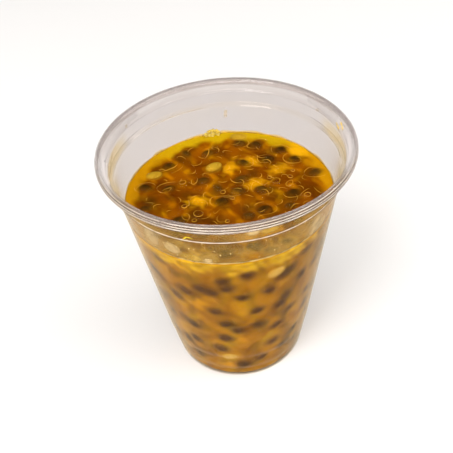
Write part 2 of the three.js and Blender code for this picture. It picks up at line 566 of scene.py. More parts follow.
class Finish:
    """A finish that turns itself into a material."""

    effects: EffectGroups
    name: str

    def surface(self, graph: Graph) -> Socket:
        """The surface's shader, which every finish gives for itself."""
        raise NotImplementedError

    def inside(self, graph: Graph) -> Socket | None:
        """The inside's shader, where a finish has one."""
        return None

    def material(self) -> bpy.types.Material:
        """Builds the material.

        Returns:
            The material.
        """
        material = bpy.data.materials.new(self.name)
        material.use_nodes = True
        graph = Graph(material.node_tree)
        graph.tree.nodes.clear()
        output = graph.add("ShaderNodeOutputMaterial")
        graph.link(self.surface(graph), output.inputs["Surface"])
        inside = self.inside(graph)
        if inside is not None:
            graph.link(inside, output.inputs["Volume"])
        return material

    def relief(self, graph: Graph, grain: Grain) -> Socket:
        """The normal of a fine relief."""
        height = self.effects.use(graph, Effect.GRAIN, scale=grain.scale, pits=grain.pits)
        return graph.bumped(height, grain.strength, grain.height)

    def cover(self, graph: Graph, paint: bpy.types.Node, film: Thickness) -> Socket:
        """How much a film covers: what is painted, made thicker and thinner by soft clouds."""
        patches = self.effects.use(graph, Effect.MOTTLE, scale=film.scale, low=0.35, high=0.65)
        spread = graph.spread(patches, film.thin, film.thick)
        return graph.math("MULTIPLY", spread, paint.outputs["Alpha"], clamp=True)

    @staticmethod
    def lit_through(graph: Graph, shader: Socket, tint: Colour) -> Socket:
        """Lets light pass a clear shader to what lies behind it, tinted on its way."""
        shadow = graph.add("ShaderNodeLightPath").outputs["Is Shadow Ray"]
        return graph.mix_shaders(shadow, shader, graph.see_through(tint))


WHITE: Colour = (1.0, 1.0, 1.0)
PLASTIC_SHADOW: Colour = (0.96, 0.95, 0.94)


@dataclass(frozen=True)
class ClearPlastic(Finish):
    """Thin clear sheet: it tints what shows through, and mirrors and clouds over most at a slant."""

    effects: EffectGroups
    name: str = "clear_plastic"
    tint: Colour = (0.82, 0.795, 0.795)
    edge_tint: Colour = (0.78, 0.74, 0.7)
    tint_rise: float = 3.0
    mirror: float = 0.005
    mirror_edge: float = 0.5
    mirror_rise: float = 8.0
    milk: Colour = (0.82, 0.72, 0.5)
    milk_edge: float = 0.4
    milk_rise: float = 6.0
    scuff_scale: float = 60
    scuff_span: Pair = (0.45, 0.75)
    roughness: Pair = (0.03, 0.09)
    waves: Grain = Grain(45, 0.0, 0.12, 0.0006)

    def surface(self, graph: Graph) -> Socket:
        """Builds the shader.

        Args:
            graph: The material's graph.

        Returns:
            The shader's socket.
        """
        low, high = self.scuff_span
        scuffs = self.effects.use(
            graph, Effect.MOTTLE, scale=self.scuff_scale, low=low, high=high, swirl=1.2
        )
        normal = self.relief(graph, self.waves)
        slant = graph.slant(Normal=normal)
        tint = graph.blend(graph.math("POWER", slant, self.tint_rise), self.tint, self.edge_tint)
        mirror = {"Roughness": graph.spread(scuffs, *self.roughness), "Normal": normal}
        gloss = graph.add("ShaderNodeBsdfGlossy", mirror).outputs[0]
        steep = graph.power(slant, self.mirror_rise, self.mirror_edge)
        share = graph.math("ADD", steep, self.mirror, clamp=True)
        sheet = graph.mix_shaders(share, graph.see_through(tint), gloss)
        milky = graph.power(slant, self.milk_rise, self.milk_edge)
        sheet = graph.mix_shaders(milky, sheet, graph.matt(self.milk))
        return self.lit_through(graph, sheet, PLASTIC_SHADOW)


@dataclass(frozen=True)
class RimPlastic(Finish):
    """The thicker clear plastic of the ledges and the rolled rim, which bends the light that it lets by.

    A share of the light passes straight on, more where the surface is seen at a slant.
    """

    effects: EffectGroups
    name: str = "clear_rim"
    sheet_colour: Colour = (0.68, 0.63, 0.6)
    roll_colour: Colour = (0.79, 0.758, 0.735)
    roll_from: float = 0.1016
    roll_blend: float = 0.001
    clear_tint: Colour = (0.8, 0.765, 0.755)
    clear_share: float = 0.52
    edge_tint: Colour = (0.9, 0.875, 0.87)
    edge_share: float = 0.95
    edge_span: Pair = (0.3, 0.8)
    milk: Colour = (0.72, 0.66, 0.64)
    roll_milk: float = 0.035
    roughness: float = 0.015
    ior: float = 1.5
    waves: Grain = Grain(45, 0.0, 0.02, 0.0006)

    def surface(self, graph: Graph) -> Socket:
        """Builds the shader.

        Args:
            graph: The material's graph.

        Returns:
            The shader's socket.
        """
        place = graph.add("ShaderNodeTexCoord").outputs["Object"]
        height = graph.add("ShaderNodeSeparateXYZ", {0: place}).outputs["Z"]
        rolled = graph.ramp(height, self.roll_from, self.roll_from + self.roll_blend)
        colour = graph.blend(rolled, self.sheet_colour, self.roll_colour)
        shader = {"Base Color": colour, "Metallic": 0.0, "Roughness": self.roughness, "IOR": self.ior}
        normal = self.relief(graph, self.waves)
        sheet = graph.principled({**shader, "Transmission Weight": 1.0, "Normal": normal})
        slanted = graph.ramp(graph.slant(), *self.edge_span)
        clear = graph.see_through(graph.blend(slanted, self.clear_tint, self.edge_tint))
        share = graph.math("MULTIPLY", slanted, self.edge_share)
        sheet = graph.mix_shaders(graph.math("MAXIMUM", share, self.clear_share), sheet, clear)
        milky = graph.math("MULTIPLY", rolled, self.roll_milk)
        sheet = graph.mix_shaders(milky, sheet, graph.matt(self.milk))
        return self.lit_through(graph, sheet, PLASTIC_SHADOW)


@dataclass(frozen=True)
class AmberJuice(Finish):
    """Clear amber juice that takes the blue out of the light as it gets deeper."""

    effects: EffectGroups
    name: str = "amber_juice"
    ior: float = 1.12
    roughness: float = 0.03
    passing: Colour = (0.97, 0.85, 0.2)
    density: float = 180.0
    wrinkles: Grain = Grain(420, 0.6, 0.15, 0.0004)

    def surface(self, graph: Graph) -> Socket:
        """Clear liquid with fine wrinkles."""
        shader = {"Base Color": WHITE, "Metallic": 0.0, "Roughness": self.roughness, "IOR": self.ior}
        normal = self.relief(graph, self.wrinkles)
        liquid = graph.principled({**shader, "Transmission Weight": 1.0, "Normal": normal})
        return self.lit_through(graph, liquid, WHITE)

    def inside(self, graph: Graph) -> Socket:
        """The juice's depth, which takes the blue out."""
        inputs = {"Color": self.passing, "Density": self.density}
        return graph.add("ShaderNodeVolumeAbsorption", inputs).outputs[0]


@dataclass(frozen=True)
class Painted(Finish):
    """A finish whose main colour is painted on the mesh, broken up by clouds, wisps and fine relief.

    The paint's alpha says how much of the clouds and wisps shows.
    """

    effects: EffectGroups
    name: str
    cloud_scale: float = 90
    cloud: Colour = (0.72, 0.66, 0.55)
    wisp_scale: float = 170
    wisp: Colour = (1.25, 1.35, 1.6)
    wisp_share: float = 0.5
    grain: Grain = Grain(600, 0.6, 0.4, 0.0004)
    roughness: float = 0.45
    gloss: float = 0.0
    sheen: float = 0.0
    sheen_tint: Colour = (1.0, 0.8, 0.5)

    def surface(self, graph: Graph) -> Socket:
        """Builds the shader.

        Args:
            graph: The material's graph.

        Returns:
            The shader's socket.
        """
        use = self.effects.use
        paint = graph.add("ShaderNodeAttribute", attribute_name=PAINT)
        detail = paint.outputs["Alpha"]
        dark = use(graph, Effect.MOTTLE, scale=self.cloud_scale, low=0.4, high=0.66, swirl=1.2)
        colour = graph.shade(graph.math("MULTIPLY", dark, detail), paint.outputs["Color"], self.cloud)
        wisps = use(graph, Effect.STREAKS, scale=self.wisp_scale, shift=0.37)
        patches = use(graph, Effect.MOTTLE, scale=self.cloud_scale * 0.8, low=0.42, high=0.6, shift=0.71)
        share = graph.math("MULTIPLY", graph.math("MULTIPLY", wisps, patches), self.wisp_share)
        colour = graph.shade(graph.math("MULTIPLY", share, detail), colour, self.wisp)
        shader = {"Base Color": colour, "Roughness": self.roughness, "Specular IOR Level": self.gloss}
        sheen = {"Sheen Weight": self.sheen, "Sheen Tint": self.sheen_tint}
        return graph.principled({**shader, **sheen, "Normal": self.relief(graph, self.grain)})


@dataclass(frozen=True)
class Film(Finish):
    """A see-through skin of juice, painted thicker and thinner and broken up by soft clouds."""

    effects: EffectGroups
    name: str
    film: Thickness
    roughness: float = 0.3
    gloss: float = 0.2

    def surface(self, graph: Graph) -> Socket:
        """The painted colour, as see-through as the film is thin."""
        paint = graph.add("ShaderNodeAttribute", attribute_name=PAINT)
        return graph.principled(
            {
                "Base Color": paint.outputs["Color"],
                "Roughness": self.roughness,
                "Specular IOR Level": self.gloss,
                "Alpha": self.cover(graph, paint, self.film),
                "Normal": self.relief(graph, Grain(self.film.scale * 2, 0.5, 0.3, 0.0002)),
            }
        )


@dataclass(frozen=True)
class JuiceHazeAndVeil(Finish):
    """A cloudy film of thin juice, which both veils and warms what shows through it; its cover is partly a
    painted veil of light reflected off the wall.
    """

    effects: EffectGroups
    name: str = "juice_haze_and_veil"
    film: Thickness = Thickness(0.12, 0.3, 110)
    passing: Colour = (0.98, 0.93, 0.74)
    roughness: float = 0.5
    grain: Grain = Grain(220, 0.5, 0.3, 0.0002)

    def surface(self, graph: Graph) -> Socket:
        """Builds the shader.

        Args:
            graph: The material's graph.

        Returns:
            The shader's socket.
        """
        paint = graph.add("ShaderNodeAttribute", attribute_name=PAINT)
        colour = paint.outputs["Color"]
        shader = {"Base Color": colour, "Roughness": self.roughness, "Specular IOR Level": 0.0}
        skin = graph.principled({**shader, "Normal": self.relief(graph, self.grain)})
        clear = graph.see_through(graph.blend(paint.outputs["Alpha"], WHITE, self.passing))
        return graph.mix_shaders(self.cover(graph, paint, self.film), clear, skin)


# ---- the cup


@dataclass(frozen=True)
class CupShape:
    """The sizes of the plastic, in millimetres, and the lines worked out from them."""

    height: float = 106.0
    rim_radius: float = 48.99
    roll_width: float = 3.1
    roll_height: float = 3.5
    roll_turn: float = 250.0
    sheet: float = 0.5
    foot_radius: float = 29.2
    slope: float = 0.151
    heel: float = 1.8
    foot_ring_inner: float = 25.9
    push_up_radius: float = 23.6
    push_up_height: float = 2.5
    push_up_shoulder: float = 0.9
    foot_steps: tuple[float, ...] = (7.6, 17.0)
    foot_step_depth: float = 0.25
    foot_step_half: float = 0.4
    ledge_z: float = 94.8
    ledge_radius: float = 43.5
    band_z: float = 95.9
    band_radius: float = 45.08
    upper_z: float = 100.7
    upper_radius: float = 45.2
    lip_z: float = 101.5
    lip_radius: float = 45.75
    ledge_rise: float = 0.4
    ledge_turn: float = 0.2
    foot_margin: float = 2.0
    arc_steps: int = 4
    steady_reach: float = 0.4
    longest_plain: float = 1.6
    round_reach: float = 0.35
    round_most: float = 0.45
    round_steps: int = 4
    least_bend: float = 0.12
    least_cosine: float = 0.5

    def wall(self, z: float) -> float:
        """The wall's outside radius at a height."""
        above = sum(1 for step in self.foot_steps if z < step)
        return self.foot_radius + self.slope * z - self.foot_step_depth * above

    def inner_wall(self, z: float) -> float:
        """The wall's inside radius at a height."""
        return self.wall(z) - self.sheet / math.cos(math.atan(self.slope))

    def inside_radius(self, z: Array | float) -> Array:
        """The radius of the plastic's inside.

        Args:
            z: Heights between the foot and the rim.

        Returns:
            The radius at each height.
        """
        inside = self.offset(self.middle_line(), -self.sheet / 2)
        rising = (inside[:, 0] > self.wall(0) - self.foot_margin) & (inside[:, 0] < self.lip_radius)
        return np.interp(z, inside[rising, 1], inside[rising, 0])

    @staticmethod
    def _arc(middle: Pair, radii: Pair, start: float, end: float, steps: int) -> list[Pair]:
        """Points of an arc between two angles in degrees."""
        turns = [math.radians(start + (end - start) * i / steps) for i in range(steps + 1)]
        return [(middle[0] + radii[0] * math.cos(t), middle[1] + radii[1] * math.sin(t)) for t in turns]

    def middle_line(self) -> Array:
        """The middle line of the sheet's section.

        Returns:
            Rows of radius and height from the base's middle to the roll's end.
        """
        half = self.sheet / 2
        lean = math.atan(self.slope)

        def middle(z: float) -> float:
            """The sheet's middle at a height of the wall."""
            return self.wall(z) - half / math.cos(lean)

        heel = self.heel - half
        heel_middle = (middle(self.heel) - heel, self.heel)
        steps = [
            (middle(z + side * self.foot_step_half), z + side * self.foot_step_half)
            for z in self.foot_steps
            for side in (-1, 1)
        ]
        roll_middle = (self.rim_radius - self.roll_width / 2, self.height - self.roll_height / 2)
        roll_radii = (self.roll_width / 2 - half, self.roll_height / 2 - half)
        shoulder = self.push_up_shoulder
        line = [
            (0.0, self.push_up_height + half),
            (self.push_up_radius, self.push_up_height + half),
            (self.foot_ring_inner - shoulder, shoulder + half),
            (self.foot_ring_inner, half),
            *self._arc(heel_middle, (heel, heel), -90, -math.degrees(lean), 2 * self.arc_steps),
            *steps,
            (middle(self.ledge_z - self.ledge_rise), self.ledge_z - self.ledge_rise),
            (self.ledge_radius + self.ledge_turn, self.ledge_z + half),
            (self.band_radius - half, self.band_z),
            (self.upper_radius - half, self.upper_z),
            (self.lip_radius - half, self.lip_z),
            *self._arc(roll_middle, roll_radii, 180, 180 - self.roll_turn, 8 * self.arc_steps),
        ]
        return self.steadied(self.rounded(np.array(line)))

    def steadied(self, line: Array) -> Array:
        """Adds points near the ends of long stretches, so that smooth shading bends only at corners.

        Args:
            line: Rows of radius and height.

        Returns:
            The line with the added points.
        """
        rows = [line[0]]
        for start, end in zip(line, line[1:]):
            length = np.linalg.norm(end - start)
            if length > self.longest_plain:
                rows.append(start + (end - start) * self.steady_reach / length)
                rows.append(end - (end - start) * self.steady_reach / length)
            rows.append(end)
        return np.array(rows)

    def rounded(self, line: Array) -> Array:
        """Rounds the sharp corners of a line.

        Args:
            line: Rows of radius and height.

        Returns:
            The line with rounds in place of its corners.
        """
        rows = [line[0]]
        for before, corner, after in zip(line, line[1:], line[2:]):
            first = before - corner
            second = after - corner
            long_first = np.linalg.norm(first)
            long_second = np.linalg.norm(second)
            bend = abs(np.cross(first, second)) / (long_first * long_second)
            if bend < self.least_bend:
                rows.append(corner)
                continue
            start = corner + first / long_first * min(self.round_reach, long_first * self.round_most)
            end = corner + second / long_second * min(self.round_reach, long_second * self.round_most)
            for i in range(self.round_steps + 1):
                share = i / self.round_steps
                rows.append((1 - share) ** 2 * start + 2 * share * (1 - share) * corner + share**2 * end)
        rows.append(line[-1])
        return np.array(rows)

    def offset(self, line: Array, distance: float) -> Array:
        """Moves a line sideways, outward for a positive distance.

        Args:
            line: Rows of radius and height.
            distance: How far, in millimetres.

        Returns:
            The moved line, whose first point stays on the axis.
        """
        steps = np.diff(line, axis=0)
        steps /= np.linalg.norm(steps, axis=1)[:, None]
        before = np.vstack([steps[:1], steps])
        after = np.vstack([steps, steps[-1:]])
        along = before + after
        along /= np.linalg.norm(along, axis=1)[:, None]
        mitre = distance / np.maximum((along * before).sum(axis=1), self.least_cosine)
        moved = line + np.column_stack([along[:, 1], -along[:, 0]]) * mitre[:, None]
        moved[0, 0] = 0
        return moved


@dataclass
class ClearCup:
    """The cup's sheet of clear plastic: flat panes, and ledges and a roll that bend the light."""

    shape: CupShape
    finish: ClearPlastic
    rim_finish: RimPlastic
    ledge_reach: float = 0.3
    band_start: float = 0.2
    segments: int = 240

    def build(self) -> Piece:
        """Makes the cup.

        Returns:
            The piece that stands for the solid cup.
        """
        line = self.shape.middle_line()
        half = self.shape.sheet / 2
        outside = self.shape.offset(line, half)
        inside = self.shape.offset(line, -half)[::-1]
        points, faces = turned(np.vstack([outside, inside]), self.segments)
        piece = make_piece("clear_cup", points, faces, self.finish.material())
        piece.data.materials.append(self.rim_finish.material())
        for face in piece.data.polygons:
            z = face.center.z / MM
            straight = self.shape.band_z + self.band_start < z < self.shape.upper_z - self.ledge_reach
            face.material_index = int(z > self.shape.ledge_z - self.ledge_reach and not straight)
        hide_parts("cup")
        return piece


# ---- the pulp


@dataclass(frozen=True)
class Kind:
    """A kind of thing that lies in the surface: its size, and how much stands above the level."""

    size: tuple[float, float, float]
    proud: float


SAC = Kind((9.5, 7.2, 3.0), 0.75)
SEED = Kind((5.9, 3.9, 2.6), 0.8)
ROUND_SEED = Kind((5.7, 4.6, 3.2), 0.8)
PALE_SEED = Kind((7.4, 5.2, 1.8), 0.9)
FLESH = Kind((8.5, 5.6, 3.2), 0.9)
BUBBLE = Kind((4.4, 4.4, 3.2), 1.2)

SAC_PLACES = [
    (35, 48, 150), (34, 34, 160), (36.5, 13, 170), (34.5, 67, 20), (34, 80, 10), (29.5, 105, 25),
    (32.5, 139, 40), (34.5, 168, 0), (25, 166, 10), (14, 137, 20), (33.5, 190, 30), (20.5, 71, 160),
    (27, 50, 10), (13, 3, 145), (3.5, 8, 20), (17.5, 318, 175), (6, 235, 5), (10, 58, 170),
    (25.5, 354, 30), (24.5, 215, 20), (38, 291, 10), (37, 302, 15), (33, 283, 0), (34.5, 265, 150),
    (38.5, 323, 40), (24.5, 245, 10),
]
PALE_PLACES = [
    (34, 153, 25), (18.5, 107, 40), (38.5, 81, 0), (36, 233, 20), (38.5, 256, 0),
]
FLESH_PLACES = [
    (23, 63, 150), (12, 25, 20), (25.5, 33, 25), (13, 194, 160), (17, 86, 60), (38, 248, 10),
    (36.5, 279, 0), (27, 286, 30), (28.5, 301, 40), (38.2, 39, 130),
]
BUBBLE_PLACES = [
    (17.2, 224, 0), (19.5, 13, 0), (25.5, 5, 0), (19.5, 158, 0), (31, 348, 0), (21.8, 255, 0),
    (19.5, 204, 0),
]
RING_PLACES = [
    (17.2, 224, 3.6), (19.5, 13, 3.4), (24.3, 5, 2.8), (19.8, 158, 2.6), (30.9, 348, 2.4), (21.8, 255, 2.6),
    (19.3, 204, 2.2), (18.5, 25, 1.8), (25.9, 15, 2.0), (28.7, 22, 1.6), (2.5, 167, 2.0), (4.1, 285, 1.8),
    (17.5, 265, 1.6), (20.9, 228, 1.8),
]
SIDE_SEED_PLACES = [
    (74, 276, 0), (66.5, 264, 5), (65, 248, 160), (63.5, 255, 150), (55, 229, 130), (61, 238, 140),
    (61.5, 289, 155), (53, 302, 40), (49, 298, 25), (50.5, 255, 0), (50, 282, 15), (37, 236, 160),
    (42, 261, 0), (37.5, 268, 150), (31, 259, 0), (23, 295, 10), (12.5, 286, 10), (8.5, 271, 5),
    (22.5, 254, 150), (25, 233, 140), (21, 224, 130), (34.5, 297, 20), (61, 313, 60), (71, 262, 5),
]
SIDE_PALE_PLACES = [
    (71, 293, 15), (15.5, 260, 10), (60, 30, 0), (44, 95, 20), (33, 160, 10), (66, 200, 0),
]
SIDE_FLESH_PLACES = [
    (54, 245, 60), (29.5, 271, 10), (8.5, 259, 0), (78, 239, 160), (58, 20, 0), (40, 130, 40),
]
STREWN_ON_TOP = {PALE_SEED: PALE_PLACES, FLESH: FLESH_PLACES}
STREWN_AT_SIDE = {PALE_SEED: SIDE_PALE_PLACES, FLESH: SIDE_FLESH_PLACES}
# Painted glow: golden patches below the level on the front, in place of light coming through the thin juice
# at the wall.
PAINTED_GLOW_PLACES = [
    ((78.6, 232, 0), 1.1), ((79.2, 249, 0), 1.3), ((76, 269, 20), 0.7), ((78.8, 279, 0), 1.1),
    ((78.4, 295, 0), 1.1), ((80, 304, 0), 1.1),
]


@dataclass
class PulpSurface:
    """The pulp's upper surface: its level, waves, climb at the wall, and what bulges it."""

    cup: CupShape
    level: float = 82.0
    clearance: float = 0.3
    climb: float = 0.7
    climb_width: float = 2.2
    wave: float = 0.35
    wave_length: float = 14.0
    loose_count: int = 56
    loose_spacing: float = 6.8
    loose_margin: float = 1.0
    loose_seed: int = 11
    wetting: float = 0.12
    joining: float = 2.5
    loose_places: list[Place] = field(init=False)

    def __post_init__(self) -> None:
        """Spreads the seeds that no list names."""
        self.loose_places = self._spread_loose_seeds()

    @property
    def edge(self) -> float:
        """The solid pulp's radius at its level."""
        return self.cup.inner_wall(self.level) - self.clearance

    def _spread_loose_seeds(self) -> list[Place]:
        """Places on a sunflower spiral, thinned where something lies already.

        Returns:
            Radius, bearing and turn of each seed.
        """
        draw = random_source(self.loose_seed)
        reach = self.edge - SEED.size[0] / 2 - self.loose_margin
        taken = [*SAC_PLACES, *PALE_PLACES, *FLESH_PLACES, *BUBBLE_PLACES]
        places: list[Place] = []
        for i in range(self.loose_count):
            radius = reach * math.sqrt((i + 0.5) / self.loose_count) + (draw() - 0.5)
            place = (radius, math.degrees(i * GOLDEN_ANGLE), 180 * draw())
            if all(self._apart(place, other) > self.loose_spacing for other in [*taken, *places]):
                places.append(place)
        return places

    @staticmethod
    def _apart(first: Place, second: Place) -> float:
        """The distance between two places."""
        turn = math.radians(first[1] - second[1])
        return math.sqrt(first[0] ** 2 + second[0] ** 2 - 2 * first[0] * second[0] * math.cos(turn))

    def calm_height(self, x: Array, y: Array) -> Array:
        """The liquid's height without what bulges it.

        Args:
            x: Places along X in millimetres.
            y: Places along Y.

        Returns:
            Heights in millimetres.
        """
        radius = np.hypot(x, y)
        wave = 2 * math.pi / self.wave_length
        swell = np.sin(x * wave + 0.7 * np.sin(y * wave * 0.6)) * np.cos(y * wave * 0.8 + 0.5)
        calm = np.clip((self.edge - radius) / (2 * self.climb_width), 0, 1)
        climb = self.climb * np.exp((radius - self.edge) / self.climb_width)
        return self.level - self.climb / 2 + self.wave * swell * calm + climb

    def bulges(self) -> list[tuple[Kind, Place]]:
        """Everything that lifts the surface."""
        kinds = (SAC, PALE_SEED, FLESH, BUBBLE, SEED)
        lists = (SAC_PLACES, PALE_PLACES, FLESH_PLACES, BUBBLE_PLACES, self.loose_places)
        return [(kind, place) for kind, places in zip(kinds, lists) for place in places]

    def height(self, x: Array, y: Array) -> Array:
        """The wet surface's height, with its bulges.

        Args:
            x: Places along X in millimetres.
            y: Places along Y.

        Returns:
            Heights in millimetres.
        """
        lift = np.zeros_like(x)
        for kind, (radius, bearing, turn) in self.bulges():
            angle = math.radians(bearing)
            lean = math.radians(turn)
            dx = x - radius * math.cos(angle)
            dy = y - radius * math.sin(angle)
            along = dx * math.cos(lean) + dy * math.sin(lean)
            across = dy * math.cos(lean) - dx * math.sin(lean)
            thick = kind.size[2] / 2
            share = (2 * along / kind.size[0]) ** 2 + (2 * across / kind.size[1]) ** 2
            dome = kind.proud - thick + thick * np.sqrt(np.clip(1 - share, 0, None))
            lift += (self.wetting * np.logaddexp(0, dome / self.wetting)) ** self.joining
        return self.calm_height(x, y) + lift ** (1 / self.joining)

    def flat_lie(self, kind: Kind, place: Place, below: float, scale: float, tilt: float) -> Lie:
        """How a thing lies flat under the surface.

        Args:
            kind: What it is.
            place: Radius, bearing and turn.
            below: Depth of its top under the wet surface.
            scale: Its size against its kind's.
            tilt: Its lean along its length, in degrees.

        Returns:
            Its lie.
        """
        radius, bearing, turn = place
        size = np.array(kind.size) * scale
        middle = polar(radius, math.radians(bearing), 0)
        middle[2] = float(self.height(middle[:1], middle[1:2])[0]) - (below + size[2] / 2)
        lean = math.radians(turn)
        rise = math.radians(tilt)
        long = polar(math.cos(rise), lean, math.sin(rise))
        wide = np.array([-math.sin(lean), math.cos(lean), 0])
        return Lie(middle, np.array([long, wide, np.cross(long, wide)]), size)


def give_top_finish(piece: Piece, finish: Finish, upper: Array) -> None:
    """Gives a piece a second finish on the faces whose corners are all on its top.

    Args:
        piece: The piece, which has its first finish.
        finish: The finish of its top.
        upper: Whether each corner is on the top.
    """
    piece.data.materials.append(finish.material())
    for face in piece.data.polygons:
        face.material_index = int(all(upper[corner] for corner in face.vertices))


@dataclass
class Juice:
    """The clear liquid, which reaches into the middle of the sheet."""

    cup: CupShape
    surface: PulpSurface
    top_finish: AmberJuice
    wall_finish: AmberJuice
    above_steps: float = 1.5
    wall_rows: int = 12
    wall_end: float = 4.0
    last_rows: tuple[float, ...] = (2.0, 1.0, 0.4, 0.15, 0.05)
    lip: Pair = (0.05, 0.2)
    near_level: float = 0.1
    at_level: float = 0.01
    segments: int = 360
    rings: int = 118

    def _sheet_middle(self, z: float) -> float:
        """The radius of the middle of the sheet at a height of the wall."""
        return (self.cup.wall(z) + self.cup.inner_wall(z)) / 2

    def build(self) -> Piece:
        """Makes the liquid.

        Returns:
            The piece that stands for the solid pulp.
        """
        line = self.cup.middle_line()
        level = self.surface.level
        straight = self.cup.foot_steps[-1] + self.above_steps
        heights = [*np.linspace(straight, level - self.wall_end, self.wall_rows)]
        heights += [level - depth for depth in self.last_rows]
        wall = [(self._sheet_middle(z), z) for z in heights]
        below = np.vstack([line[line[:, 1] < straight], wall])
        edge = self._sheet_middle(level)
        inward = 1 - np.arange(self.rings + 1) / self.rings
        radii = np.array([edge, edge - self.lip[0], *(edge - self.lip[1]) * inward])
        top = np.column_stack([radii, np.full(len(radii), level)])
        points, faces = turned(np.vstack([below, top]), self.segments)
        near = points[:, 2] > level - self.near_level
        upper = points[:, 2] > level - self.at_level
        points[near, 2] += self.surface.height(points[near, 0], points[near, 1]) - level
        piece = make_piece("juice", points, faces, self.wall_finish.material())
        give_top_finish(piece, self.top_finish, upper)
        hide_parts("pulp")
        return piece


RAGGED_WAVE: Place = (1.3, 0.8, 1.0)
RAGGED_BEND: Place = (-0.7, 1.1, 0.5)


@dataclass(frozen=True)
class Stain:
    """What a thing in the pulp does to the colour round it."""

    lie: Lie
    colour: Colour
    strength: float
    inner: float
    outer: float
    thicken: float = 1.8
    ragged: float = 0.0

    def share(self, points: Array) -> Array:
        """How much of the stain's colour shows.

        Args:
            points: Rows of x, y and z.

        Returns:
            A share for each point.
        """
        reach = self.lie.reach(points, self.thicken)
        if self.ragged:
            wave = np.sin(points @ RAGGED_WAVE + np.sin(points @ RAGGED_BEND))
            reach = reach * (1 + self.ragged * wave)
        return self.strength * smooth_step(reach, self.outer, self.inner)


@dataclass(frozen=True)
class Palette:
    """The colours of the pulp, seen through its juice."""

    top: Colour = srgb(124, 68, 2)
    side: Colour = srgb(169, 122, 14)
    # Painted glow: the next four colours paint the light that comes through the thin juice by the wall, round
    # the top's edge, at its back, below the level at the side and in patches at the front.
    rim: Colour = srgb(172, 121, 6)
    back_glow_painted: Colour = srgb(164, 133, 10)
    side_glow_painted: Colour = srgb(208, 166, 28)
    patch_glow_painted: Colour = srgb(230, 192, 34)
    dark_top: Colour = srgb(64, 43, 11)
    dark_side: Colour = srgb(77, 53, 33)
    orange: Colour = srgb(190, 130, 4)
    yellow: Colour = srgb(206, 152, 14)
    pale_top: Colour = srgb(168, 133, 34)
    pale_side: Colour = srgb(200, 168, 84)
    # Pale edges of sacs and bubbles: partly their own colour, partly painted highlights where light catches
    # them.
    cream_and_glint: Colour = srgb(214, 160, 38)
    foam: Colour = srgb(236, 204, 80)
    foam_light: Colour = srgb(244, 226, 130)


@dataclass(frozen=True)
class Tone:
    """A cloudy change of colour: its factor, its clouds, its full share, and where it starts and is full."""

    factor: Colour
    length: float
    shift: float
    full: float
    start: float
    end: float = 0.9

    def applied(self, colours: Array, points: Array, where: Array | float = 1.0) -> Array:
        """Changes colours.

        Args:
            colours: A colour for each point, or one for all.
            points: Rows of x, y and z.
            where: A mask.

        Returns:
            A colour for each point.
        """
        wander = clouds(points, self.length, self.shift)
        share = self.full * where * smooth_step(wander, self.start, self.end)
        return colours * (1 + (np.array([self.factor]) - 1) * share[:, None])


TONES = [
    Tone((0.62, 0.55, 0.5), 17, 1.0, 0.8, 0.5),
    Tone((0.82, 0.95, 1.0), 12, 4.0, 0.8, 0.5),
    Tone((1.22, 1.36, 0.6), 21, 2.3, 0.9, 0.55),
]
TOP_PATCHES = Tone((1.95, 2.6, 0.8), 8.5, 0.4, 0.8, 0.55, 0.95)


